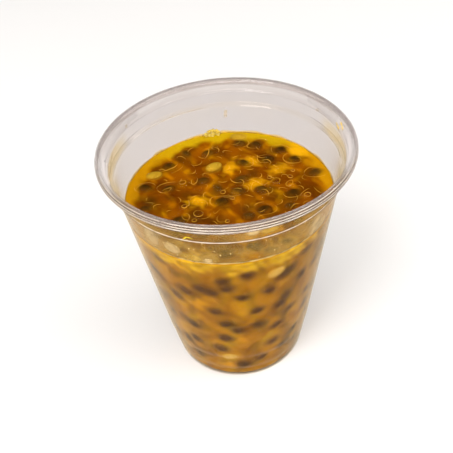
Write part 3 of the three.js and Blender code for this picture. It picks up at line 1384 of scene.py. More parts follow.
@dataclass
class PulpPaint:
    """The pulp's colour at any point, worked out from what lies near it.

    Spans are pairs of depths under the level, or of distances, in millimetres.
    """

    surface: PulpSurface
    palette: Palette
    stains: list[Stain]
    side_lean: float = 0.25
    side_span: Pair = (0.12, 0.4)
    top_span: Pair = (6.5, 2.5)
    rim_width: float = 4.6
    rim_blend: Pair = (1.6, -1.4)
    rim_wander: Pair = (-0.3, 3.0)
    rim_depth: float = 4.0
    rim_least: float = 0.1
    rim_fade: Pair = (3.0, -1.5)
    back_span: Pair = (0.4, 0.95)
    side_gaps: float = 0.8
    smoothness: float = 0.8
    smooth_blend: float = 1.2
    smooth_span: Pair = (2.0, 0.6)
    sheet_shade: float = 0.32
    sheet_span: Pair = (0.9, 0.4)

    def base(self, points: Array) -> Array:
        """The colour of the pulp without its seeds and flesh, with a painted glow round its top edge by the
        wall and below the level at the side, and a painted shade where it stands inside the plastic sheet.

        Args:
            points: Rows of x, y and z.

        Returns:
            A linear colour for each point.
        """
        colours = self.palette
        x, y, z = points.T
        radius = np.hypot(x, y)
        depth = self.surface.level - z
        inset = self.surface.edge - radius
        on_side = smooth_step(depth - self.side_lean * inset, *self.side_span)
        upper = smooth_step(depth, *self.top_span) * (1 - on_side)
        plain = mixed(np.array([colours.side]), np.array([colours.top]), upper)
        for tone in TONES:
            plain = tone.applied(plain, points)
        plain = TOP_PATCHES.applied(plain, points, upper)
        # Painted glow: the yellow ring round the top's edge paints the light that comes through the thin
        # juice by the wall, a little different at the back.
        behind = smooth_step(y / np.maximum(radius, 1), *self.back_span)
        rim = mixed(np.array([colours.rim]), np.array([colours.back_glow_painted]), behind)
        # Painted glow below the level on the side, where the pulp is seen through the wall.
        rim = mixed(rim, np.array([colours.side_glow_painted]), on_side)
        least, span = self.rim_wander
        inward = inset + least + span * clouds(points, length=11, shift=6.1)
        outward = smooth_step(inward, *(self.rim_width + blend for blend in self.rim_blend))
        uneven = clouds(points * (1, 1, 0.2), length=15, shift=1.9)
        end = self.rim_depth * (self.rim_least + (1 - self.rim_least) * uneven)
        high = smooth_step(depth, *(end + fade for fade in self.rim_fade))
        gaps = smooth_step(clouds(points, length=12, shift=5.2), 0.65, 0.35)
        share = outward * high * (1 - self.side_gaps * on_side * gaps)
        # Painted shade: the strip of pulp that stands inside the plastic sheet is darkened in place of the
        # sheet's tint.
        in_sheet = on_side * smooth_step(depth, *self.sheet_span)
        return mixed(plain, rim, share) * (1 - self.sheet_shade * in_sheet)[:, None]

    def detail(self, points: Array) -> Array:
        """How much of the finish's clouds and wisps shows: less in the smooth yellow edge of the top.

        Args:
            points: Rows of x, y and z.

        Returns:
            A share for each point.
        """
        inset = self.surface.edge - np.hypot(points[:, 0], points[:, 1])
        outward = smooth_step(inset, self.rim_width + self.smooth_blend, self.rim_width - self.smooth_blend)
        on_top = smooth_step(self.surface.level - points[:, 2], *self.smooth_span)
        return 1 - self.smoothness * outward * on_top

    def colour(self, points: Array) -> Array:
        """The colour of the pulp with all that stains it.

        Args:
            points: Rows of x, y and z.

        Returns:
            A linear colour for each point.
        """
        result = self.base(points)
        for stain in self.stains:
            near = np.abs(points - stain.lie.middle).max(axis=1) < stain.lie.size.max() * 2
            if near.any():
                result[near] = mixed(result[near], np.array([stain.colour]), stain.share(points[near]))
        return result


@dataclass
class PulpBody:
    """The cloudy mass under the thin clear outer layer of juice."""

    cup: CupShape
    surface: PulpSurface
    paint: PulpPaint
    top_finish: Painted
    side_finish: Painted
    side_depth: float = 0.95
    edge_depth: float = 0.03
    lip_depth: float = -0.12
    edge_span: Pair = (9.0, 3.0)
    lip_span: Pair = (0.7, 0.3)
    foot_depth: float = 0.6
    foot_reach: float = 1.0
    foot_gap: float = 1.5
    top_depth: float = 1.3
    top_edge_depth: float = 0.12
    sink_span: Pair = (0.2, 10.0)
    lift_share: float = 0.6
    corner: float = 0.15
    corner_steps: int = 6
    unevenness: float = 0.2
    uneven_from: Pair = (2.0, 6.0)
    uneven_to: Pair = (5.0, 9.0)
    segments: int = 360
    wall_rows: int = 122
    top_rings: int = 76

    def _depth(self, z: float) -> float:
        """How far behind the wall's inside the mass lies.

        Args:
            z: A height.

        Returns:
            The depth, below 0 where the mass stands in the sheet.
        """
        below = np.array(self.surface.level - z)
        share = float(smooth_step(below, *self.edge_span))
        last = float(smooth_step(below, *self.lip_span))
        depth = self.side_depth * (1 - share) + self.edge_depth * share
        return depth + (self.lip_depth - self.edge_depth) * last

    def _profile(self) -> Array:
        """The mass's section.

        Returns:
            Rows of radius and height, from the middle of its foot up the wall and in over the top.
        """
        top = self.surface.level - self.top_edge_depth
        foot = self.cup.offset(self.cup.middle_line(), -(self.cup.sheet / 2 + self.foot_depth))
        foot = foot[foot[:, 1] < self.cup.heel + self.foot_reach]
        wall_z = np.linspace(foot[-1, 1] + self.foot_gap, top - self.corner, self.wall_rows)
        wall = [(self.cup.inner_wall(z) - self._depth(z), z) for z in wall_z]
        middle = np.array([wall[-1][0] - self.corner, top - self.corner])
        turns = np.radians(np.linspace(12, 90, self.corner_steps))
        edge = middle + self.corner * np.column_stack([np.cos(turns), np.sin(turns)])
        inward = [(r, top) for r in np.linspace(middle[0], 0, self.top_rings)[1:]]
        return np.array([*foot, *wall, *edge, *inward])

    def build(self) -> Piece:
        """Makes the mass.

        Returns:
            The piece.
        """
        level = self.surface.level
        top = level - self.top_edge_depth
        points, faces = turned(self._profile(), self.segments)
        x, y, z = points.T
        radius = np.hypot(x, y)
        swell = np.sin(x * 0.55 + 1.7 * np.sin(z * 0.31)) * np.cos(y * 0.5 - 0.9 * np.sin(z * 0.43 + 1))
        out = np.column_stack([x, y, np.zeros_like(x)]) / np.maximum(radius, 1)[:, None]
        on_wall = smooth_step(z, *self.uneven_from) * smooth_step(level - z, *self.uneven_to)
        points = points + out * (self.unevenness * swell * on_wall)[:, None]
        calm = self.surface.calm_height(x, y)
        lift = self.surface.height(x, y) - calm
        upper = smooth_step(z, top - self.corner, top)
        inner = smooth_step(self.surface.edge - radius, *self.sink_span)
        sink = (self.top_depth - self.top_edge_depth) * inner
        points[:, 2] += upper * (calm - level - sink + self.lift_share * lift)
        paint = np.column_stack([self.paint.colour(points), self.paint.detail(points)])
        piece = make_piece("pulp_body", points, faces, self.side_finish.material(), paint)
        give_top_finish(piece, self.top_finish, upper > 0.5)
        return piece


UPWARD = np.array([0.0, 0, 1])


@dataclass(frozen=True)
class Skin:
    """A way to lay things out on the pulp's outside: its top, or the side along the wall."""

    cup: CupShape
    surface: PulpSurface
    top: bool

    def points(self, place: Place, along: Array, across: Array, below: float) -> Array:
        """Points laid out round a place.

        Args:
            place: Radius on the top or height on the side, then bearing and turn in degrees.
            along: Distances along the place's own length.
            across: Distances across it.
            below: Depth under the wet surface, or behind the inside of the wall.

        Returns:
            Rows of x, y and z.
        """
        first, bearing, turn = place
        lean = math.radians(turn)
        u = along * math.cos(lean) - across * math.sin(lean)
        v = along * math.sin(lean) + across * math.cos(lean)
        if self.top:
            middle = polar(first, math.radians(bearing), 0)
            x = middle[0] + u
            y = middle[1] + v
            return np.column_stack([x, y, self.surface.height(x, y) - below])
        z = first + v
        radius = np.array([self.cup.inner_wall(height) for height in z]) - below
        angles = math.radians(bearing) + u / radius
        return np.column_stack([radius * np.cos(angles), radius * np.sin(angles), z])

    def facing(self, place: Place) -> Array:
        """The direction out of the pulp at a place."""
        return UPWARD if self.top else polar(1, math.radians(place[1]), 0)


def juice_piece(name: str, points: Array, faces: Faces, finish: Finish, paint: Array) -> Piece:
    """Makes a painted piece.

    Args:
        name: The piece's name.
        points: One row of x, y and z for each corner.
        faces: The corners of each face.
        finish: Its finish.
        paint: Its paint for each corner.

    Returns:
        The piece.
    """
    piece = make_piece(name, points, faces, finish.material(), paint)
    return piece


@dataclass
class SmallThings:
    """Seeds, flesh, membranes, bubbles and foam: the many small pieces in and on the pulp.

    Spans are a least value and what the draw adds to it. Heights are above the foot.
    """

    cup: CupShape
    surface: PulpSurface
    effects: EffectGroups
    palette: Palette = Palette()
    side_count: int = 230
    side_spacing: float = 8.8
    side_span: Pair = (6, 70)
    side_step: float = 0.61803
    side_seed: int = 5
    side_sway: float = 8
    side_lean: float = 60
    foam_count: int = 170
    foam_start: float = 93.0
    foam_span: float = 9.0
    foam_height: float = 3.0
    foam_size: Pair = (0.5, 0.8)
    foam_cover: Pair = (0.55, 0.45)
    sunken_top: int = 46
    sunken_radius: float = 34
    sunken_side: int = 90
    sunken_span: Pair = (6, 68)
    top_zone: float = 4.5
    stain_flat: float = 3.0
    stain_ragged: float = 0.22
    orange_share: float = 0.2
    sacs_for_each: int = 2
    top_arcs: int = 90
    top_arc_radius: float = 35
    side_arcs: int = 150
    side_arc_span: Pair = (7, 68)
    side_arc_step: float = 0.754877
    arc_rows: int = 15
    arc_sides: int = 6
    arc_cover: float = 0.62
    bubble_rows: int = 26

    def __post_init__(self) -> None:
        """Lays out every kind, because each one colours the pulp round it."""
        self.top_skin = Skin(self.cup, self.surface, True)
        self.wall_skin = Skin(self.cup, self.surface, False)
        self.dark_lies = self._dark_lies()
        self.pale_lies = self._strewn_lies(PALE_SEED, 23, (0.12, 0.9, 0.2, 8), (0.3, 0.85, 0.2))
        self.flesh_lies = self._strewn_lies(FLESH, 29, (0.35, 0.8, 0.3, 12), (0.45, 0.6, 0.3))
        self.paint = PulpPaint(self.surface, self.palette, self._stains())

    # -- where things lie

    def wall_lie(self, kind: Kind, place: Place, inset: float, scale: float) -> Lie:
        """How a thing lies flat against the wall.

        Args:
            kind: What it is.
            place: Height, bearing and turn from level, in degrees.
            inset: Depth of its near side behind the inside of the wall.
            scale: Its size against its kind's.

        Returns:
            Its lie.
        """
        z, bearing, turn = place
        angle = math.radians(bearing)
        lean = math.radians(turn)
        out = polar(1, angle, -self.cup.slope)
        out /= np.linalg.norm(out)
        side = np.array([-math.sin(angle), math.cos(angle), 0])
        long = side * math.cos(lean) + np.cross(out, side) * math.sin(lean)
        size = np.array(kind.size) * scale
        middle = polar(self.cup.inner_wall(z) - inset - size[2] / 2, angle, z)
        return Lie(middle, np.array([long, np.cross(out, long), out]), size)

    def side_places(self) -> list[Place]:
        """Seeds that show through the front of the wall, then the rest of the round.

        Returns:
            Height, bearing and turn of each seed.
        """
        draw = random_source(self.side_seed)
        places: list[Place] = list(SIDE_SEED_PLACES)
        low, span = self.side_span
        for i in range(self.side_count):
            z = low + span * ((i * self.side_step) % 1)
            bearing = 360 * i / self.side_count + self.side_sway * (draw() - 0.5)
            place = (z, bearing, self.side_lean * (draw() - 0.5))
            if all(self._apart_on_wall(place, other) > self.side_spacing for other in places):
                places.append(place)
        return places

    def _apart_on_wall(self, first: Place, second: Place) -> float:
        """The distance between two places along the wall."""
        turn = (first[1] - second[1] + 180) % 360 - 180
        return math.hypot(first[0] - second[0], math.radians(turn) * self.cup.wall(first[0]))

    def _dark_lies(self) -> list[Lie]:
        """The dark seeds, near the surface and near the wall.

        Returns:
            Their lies: in the sacs, loose on the top, then at the side.
        """
        draw = random_source(17)
        flat = self.surface.flat_lie
        lies = [
            flat(ROUND_SEED, place, 0.3 + 0.35 * draw(), 0.9 + 0.16 * draw(), 30 * (draw() - 0.5))
            for place in SAC_PLACES
        ]
        lies += [
            flat(ROUND_SEED, place, 0.75 + 0.6 * draw(), 0.75 + 0.25 * draw(), 40 * (draw() - 0.5))
            for place in self.surface.loose_places
        ]
        named = len(SIDE_SEED_PLACES)
        for i, place in enumerate(self.side_places()):
            inset = 0.42 + 0.15 * draw() if i < named else 0.6 + 0.4 * draw()
            lies.append(self.wall_lie(ROUND_SEED, place, inset, 1.04 + 0.24 * draw()))
        return lies

    def _strewn_lies(
        self, kind: Kind, seed: int, top: tuple[float, ...], side: tuple[float, ...]
    ) -> list[Lie]:
        """How the things lie that have places both on the top and against the wall.

        Args:
            kind: What they are.
            seed: Starts their random draws.
            top: On the top: depth, least size, span of size, and tilt in degrees.
            side: Against the wall: depth, least size and span of size.

        Returns:
            Their lies, those on the top first.
        """
        draw = random_source(seed)
        below, least, span, tilt = top
        lies = [
            self.surface.flat_lie(kind, place, below, least + span * draw(), tilt * (draw() - 0.5))
            for place in STREWN_ON_TOP[kind]
        ]
        inset, least, span = side
        return lies + [
            self.wall_lie(kind, place, inset, least + span * draw()) for place in STREWN_AT_SIDE[kind]
        ]

    def _sunken_lies(self) -> list[Lie]:
        """Seeds too deep to stand out, which only darken the pulp over them.

        Returns:
            Their lies.
        """
        draw = random_source(41)
        lies = []
        for _ in range(self.sunken_top):
            place = (self.sunken_radius * math.sqrt(draw()), 360 * draw(), 180 * draw())
            lies.append(self.surface.flat_lie(SEED, place, 1.0, 0.9 + 0.3 * draw(), 0))
        low, span = self.sunken_span
        for _ in range(self.sunken_side):
            place = (low + span * draw(), 360 * draw(), 180 * draw())
            lies.append(self.wall_lie(SEED, place, 0.6, 0.9 + 0.3 * draw()))
        return lies

    def _stains(self) -> list[Stain]:
        """What every thing does to the colour of the pulp near it.

        Returns:
            The stains, the deepest first.
        """
        colours = self.palette
        flat = self.stain_flat
        ragged = self.stain_ragged
        draw = random_source(43)
        stains = []
        for lie in self._sunken_lies():
            stains.append(Stain(lie, self._dark_at(lie), 0.25 + 0.3 * draw(), 0.3, 1.8, flat))
        for lie in self.flesh_lies:
            warm = colours.orange if draw() < self.orange_share else colours.yellow
            stains.append(Stain(lie, warm, 0.85, 0.3, 1.7, flat, ragged))
        # Painted glow below the level on the front.
        for place, scale in PAINTED_GLOW_PLACES:
            lie = self.wall_lie(FLESH, place, 0.3, scale)
            stains.append(Stain(lie, colours.patch_glow_painted, 0.8, 0.2, 1.4, flat, ragged))
        for lie in self.dark_lies:
            outer = 1.6 if self._at_top(lie) else 1.75
            stains.append(Stain(lie, self._dark_at(lie), 0.85, 0.5, outer))
        for lie in self.pale_lies:
            stains.append(Stain(lie, self._pale_at(lie), 0.5, 0.9, 1.25, flat))
        return stains

    def _at_top(self, lie: Lie) -> bool:
        """Whether a thing lies at the top and not lower at the side."""
        return lie.middle[2] > self.surface.level - self.top_zone

    def _dark_at(self, lie: Lie) -> Colour:
        """The colour of a dark seed, each one a little lighter or darker."""
        red, green, blue = self.palette.dark_top if self._at_top(lie) else self.palette.dark_side
        tone = 1.125 + 0.375 * math.sin(float(lie.middle.sum()) * 5.3)
        return red * tone, green * tone, blue * tone

    def _pale_at(self, lie: Lie) -> Colour:
        """The colour of a pale seed."""
        return self.palette.pale_top if self._at_top(lie) else self.palette.pale_side

    # -- shapes

    @staticmethod
    def seed_shape() -> Shape:
        """A flat egg with one end drawn to a blunt point.

        Returns:
            Points and faces, within a unit ball.
        """
        points, faces = ball(20, 12)
        points[:, 1] *= 1 - 0.22 * points[:, 0]
        points[:, 2] *= 1 - 0.15 * points[:, 0]
        return points, faces

    def _faded(self, points: Array, colours: Array, share: Array) -> Array:
        """Colours that fade into the pulp where the share falls to 0."""
        return mixed(self.paint.colour(points), colours, share)

    def _scattered(
        self, name: str, lies: list[Lie], finish: Painted, colour: Callable[[Lie], Colour], fade: Pair
    ) -> Piece:
        """Joins seeds into a piece whose outlines melt into the pulp.

        Args:
            name: The piece's name.
            lies: How the seeds lie.
            finish: The finish.
            colour: Gives each seed its colour.
            fade: Where on a seed, from 0 in the middle to 1 at the outline, its colour fades.

        Returns:
            The piece.
        """
        shape = self.seed_shape()
        around = np.hypot(shape[0][:, 0], shape[0][:, 1])
        crown = smooth_step(around, fade[1], fade[0])
        colours = np.repeat(np.array([colour(lie) for lie in lies]), len(around), axis=0)
        points, faces = joined(shape, lies)
        paint = self._faded(points, colours, np.tile(crown, len(lies)))
        return juice_piece(name, points, faces, finish, paint)

    def dark_seeds(self) -> Piece:
        """Makes the dark seeds."""
        grain = Grain(1400, 0.6, 0.5, 0.0003)
        cloud = (0.75, 0.75, 0.8)
        coat = Painted(self.effects, "seed_coat", 300, cloud, wisp_share=0.25, grain=grain, roughness=0.5)
        return self._scattered("dark_seeds", self.dark_lies, coat, self._dark_at, (0.0, 0.95))

    def pale_seeds(self) -> Piece:
        """Makes the pale flat seeds."""
        grain = Grain(900, 0.6, 0.3, 0.0004)
        cloud = (0.86, 0.82, 0.75)
        coat = Painted(self.effects, "pale_seed_coat", 260, cloud, wisp_share=0.3, grain=grain, roughness=0.5)
        return self._scattered("pale_seeds", self.pale_lies, coat, self._pale_at, (0.75, 1.1))

    def _arc(self, skin: Skin, place: Place, half: Place, start: float, span: float, below: float) -> Shape:
        """A membrane's edge: part of an oval, thinning out towards its ends.

        Args:
            skin: The side of the pulp that it lies on.
            place: Where, as the skin takes it.
            half: The oval's half length and half width, and the edge's own half width.
            start: Where on the oval it starts, in degrees.
            span: How far it runs, in degrees.
            below: Its depth.

        Returns:
            Points and faces.
        """
        turns = np.radians(np.linspace(start, start + span, self.arc_rows))
        path = skin.points(place, half[0] * np.cos(turns), half[1] * np.sin(turns), below)
        radii = half[2] * (0.25 + 0.75 * np.sin(np.linspace(0, math.pi, len(path))) ** 0.7)
        return swept(path, radii, skin.facing(place), self.arc_sides, 0.5)

    def _arcs(self) -> list[Shape]:
        """The edges of the sacs round the seeds, then loose ones on the top and at the side.

        Returns:
            Points and faces of each edge.
        """
        draw = random_source(53)
        parts: list[Shape] = []
        for place in SAC_PLACES:
            for _ in range(self.sacs_for_each):
                half = (4.6 + 0.8 * (draw() - 0.5), 3.3 + 0.8 * (draw() - 0.5), 0.1 + 0.08 * draw())
                start = 360 * draw()
                parts.append(self._arc(self.top_skin, place, half, start, 60 + 110 * draw(), 0.12))
        for i in range(self.top_arcs):
            radius = self.top_arc_radius * math.sqrt((i + 0.5) / self.top_arcs)
            place = (radius, math.degrees(i * GOLDEN_ANGLE), 180 * draw())
            half = (1.6 + 2.6 * draw(), 1.0 + 1.6 * draw(), 0.08 + 0.1 * draw())
            parts.append(self._arc(self.top_skin, place, half, 360 * draw(), 60 + 120 * draw(), 0.1))
        low, span = self.side_arc_span
        for i in range(self.side_arcs):
            z = low + span * ((i * self.side_arc_step) % 1)
            place = (z, 360 * i / self.side_arcs + 9 * draw(), 180 * draw())
            half = (1.8 + 2.8 * draw(), 1.2 + 1.8 * draw(), 0.1 + 0.12 * draw())
            parts.append(self._arc(self.wall_skin, place, half, 360 * draw(), 50 + 100 * draw(), 0.35))
        return parts

    def membranes(self) -> Piece:
        """Makes the edges of the sacs, as thin pale lines that come and go: the membranes' own pale colour,
        partly also a painted highlight where light catches the sacs' edges.

        Returns:
            The piece.
        """
        parts = self._arcs()
        points, faces = gathered(parts)
        along = np.repeat(np.linspace(0, 1, self.arc_rows), self.arc_sides)
        share = np.tile(self.arc_cover * np.sin(math.pi * along) ** 0.8, len(parts))
        grain = Grain(1200, 0.6, 0.2, 0.0004)
        cloud = (0.8, 0.75, 0.6)
        finish = Painted(self.effects, "sac_membrane_and_glint", 400, cloud, grain=grain, roughness=0.35, gloss=0.1)
        paint = self._faded(points, np.array([self.palette.cream_and_glint]), share)
        return juice_piece("sac_membranes_and_glints", points, faces, finish, paint)

    def bubbles(self) -> Piece:
        """Makes the pale rims of the bubbles that stand in the surface: painted highlights for the light
        caught at each bubble's edge.

        Returns:
            The piece.
        """
        draw = random_source(59)
        parts: list[Shape] = []
        shares: list[Array] = []
        turns = np.linspace(0, 2 * math.pi, self.bubble_rows)
        for radius, bearing, width in RING_PLACES:
            along = width / 2 * np.cos(turns)
            across = width / 2 * np.sin(turns)
            path = self.top_skin.points((radius, bearing, 0), along, across, 0.05)
            radii = np.full(self.bubble_rows, 0.13 + 0.05 * draw())
            parts.append(swept(path, radii, UPWARD, self.arc_sides, 1.0))
            # Painted highlight: the cream share rises and falls round each rim.
            shares.append(np.repeat(0.5 + 0.25 * np.sin(turns + 6 * draw()), self.arc_sides))
        points, faces = gathered(parts)
        grain = Grain(1500, 0.6, 0.15, 0.0004)
        cloud = (0.8, 0.8, 0.7)
        finish = Painted(self.effects, "bubble_rim_glints", 500, cloud, grain=grain, roughness=0.2, gloss=0.5)
        paint = self._faded(points, np.array([self.palette.cream_and_glint]), np.concatenate(shares))
        return juice_piece("bubble_rim_glints", points, faces, finish, paint)

    def foam(self) -> Piece:
        """Makes the small heap of foam against the back of the wall.

        Returns:
            The piece.
        """
        draw = random_source(61)
        lies: list[Lie] = []
        covers: list[float] = []
        for _ in range(self.foam_count):
            share = draw()
            angle = math.radians(self.foam_start + self.foam_span * share)
            crest = self.foam_height * math.sin(math.pi * (0.12 + 0.76 * share)) ** 0.6
            z = self.surface.level + 0.2 + crest * draw()
            size = self.foam_size[0] + self.foam_size[1] * draw() ** 2
            radius = self.cup.inner_wall(z) - size / 2 + 0.1 - 0.5 * draw()
            lies.append(round_lie(radius, angle, z, size))
            covers.append(self.foam_cover[0] + self.foam_cover[1] * (1 - share) * draw())
        shape = ball(12, 8)
        points, faces = joined(shape, lies)
        shares = np.array([draw() ** 2 for _ in lies])
        tones = mixed(np.array([self.palette.foam]), np.array([self.palette.foam_light]), shares)
        paint = np.repeat(np.column_stack([tones, covers]), len(shape[0]), axis=0)
        finish = Film(self.effects, "yellow_foam", Thickness(0.5, 0.85, 900), roughness=0.4)
        return juice_piece("foam", points, faces, finish, paint)

    def build(self) -> list[Piece]:
        """Makes all the small things, one piece for each kind."""
        return [self.dark_seeds(), self.pale_seeds(), self.membranes(), self.bubbles(), self.foam()]


@dataclass(frozen=True)
class Trace:
    """A smear, a drip or a painted highlight line on the wall: places of bearing and height, its half width,
    and its side.
    """

    path: tuple[Pair, ...]
    half_width: float
    outside: bool = False

    @property
    def rows(self) -> int:
        """How many rows its ribbon has."""
        return 6 * len(self.path)


def level_trace(bearings: Iterable[int], z: float, half_width: float, outside: bool = False) -> Trace:
    """A trace that keeps to one height."""
    return Trace(tuple((bearing, z) for bearing in bearings), half_width, outside)


RIGHT_SIDE = (*range(336, 360, 6), *range(360, 392, 6))
BAR_TRACES = [
    Trace(((15.5, 102.2), (13.2, 101.6), (10.8, 101.2)), 0.55),
    Trace(((11.6, 104.3), (9.2, 103.5), (7.0, 102.6)), 0.55),
]
STRING_PATH = ((245.6, 93.2), (246.8, 94.8), (247.9, 95.9), (249.4, 97.3), (250.8, 97.3), (252.6, 96.8))
STRING_TRACES = [
    Trace(STRING_PATH, 0.24),
    Trace(((247.6, 94.6), (248.6, 95.5), (250.3, 96.0)), 0.2),
]
FAINT_TRACES = [
    Trace(((151.2, 102.0), (148.8, 101.5)), 0.6),
    Trace(((88.2, 93.4), (88.4, 91.5), (88.9, 89.2)), 0.8),
    Trace(((31.0, 101.9), (32.6, 100.6)), 0.6),
    level_trace(range(100, 146, 5), 95.05, 0.22),
    level_trace(RIGHT_SIDE, 95.05, 0.25),
    level_trace(RIGHT_SIDE[1:], 100.9, 0.2),
    level_trace(range(164, 212, 6), 95.05, 0.25),
    Trace(((168.0, 99.8), (175.0, 98.0), (182.8, 96.4)), 0.5),
    Trace(((8.3, 95.5), (3.0, 95.2), (-4.5, 94.6)), 0.4),
]
# Painted highlight: a pale line along the outside of the lower ledge, on the front only, in place of the
# light that the ledge's corner catches.
LEDGE_HIGHLIGHT_TRACES = [level_trace(range(186, 356, 8), 95.0, 0.19, outside=True)]
# Painted highlight: a pale line just above the level, on the front, in place of the light that the meniscus
# catches.
MENISCUS_HIGHLIGHT_TRACES = [level_trace(range(204, 342, 6), 82.7, 0.3)]
SPECK_TRACES = [Trace(((182.8, 103.1), (181.9, 102.2)), 0.28)]


@dataclass(frozen=True)
class Blob:
    """A soft pale place in the haze: where it is, its half sizes, its cover and its colour."""

    bearing: float
    z: float
    half_width: float
    half_height: float
    cover: float
    colour: Colour


CREAM_HAZE: Colour = (0.96, 0.79, 0.4)
YELLOW_HAZE: Colour = (0.9, 0.66, 0.14)
ORANGE_HAZE: Colour = (0.85, 0.42, 0.04)
HAZE_BLOBS = [
    Blob(239, 87.4, 3.9, 3.2, 2.6, CREAM_HAZE),
    Blob(248.5, 84.6, 4.0, 2.4, 2.2, YELLOW_HAZE),
    Blob(257, 83.8, 1.8, 1.5, 2.2, CREAM_HAZE),
    Blob(279, 99.2, 2.6, 1.6, 2.6, CREAM_HAZE),
    Blob(286.5, 98.6, 3.4, 1.7, 2.6, YELLOW_HAZE),
    Blob(246.5, 98.6, 4.0, 1.2, 1.0, YELLOW_HAZE),
    Blob(280, 84.6, 3.2, 2.2, 2.0, ORANGE_HAZE),
    Blob(227, 90, 4.5, 6.5, 1.5, CREAM_HAZE),
    Blob(318, 86, 5.5, 7.5, 2.2, CREAM_HAZE),
]


@dataclass(frozen=True)
class RimLine:
    """A painted highlight or painted dark line in the rolled rim: its turn round the roll and half width in
    degrees.
    """

    turn: float
    half_turn: float
    colour: Colour
    cover: float


# Painted light in the rim: pale lines are painted highlights, and dark brown lines are the pulp seen bent
# through the roll, painted on.
RIM_HIGHLIGHT_PAINTED: Colour = srgb(240, 231, 214)
RIM_REFRACTION_PAINTED: Colour = srgb(104, 78, 44)
RIM_LINES = [
    RimLine(91, 5, RIM_HIGHLIGHT_PAINTED, 0.3),
    RimLine(54, 5, RIM_HIGHLIGHT_PAINTED, 0.8),
    RimLine(41, 7, RIM_REFRACTION_PAINTED, 0.95),
    RimLine(22, 5, RIM_HIGHLIGHT_PAINTED, 0.75),
    RimLine(8, 6.5, RIM_REFRACTION_PAINTED, 0.85),
    RimLine(-9, 7, RIM_HIGHLIGHT_PAINTED, 0.8),
]


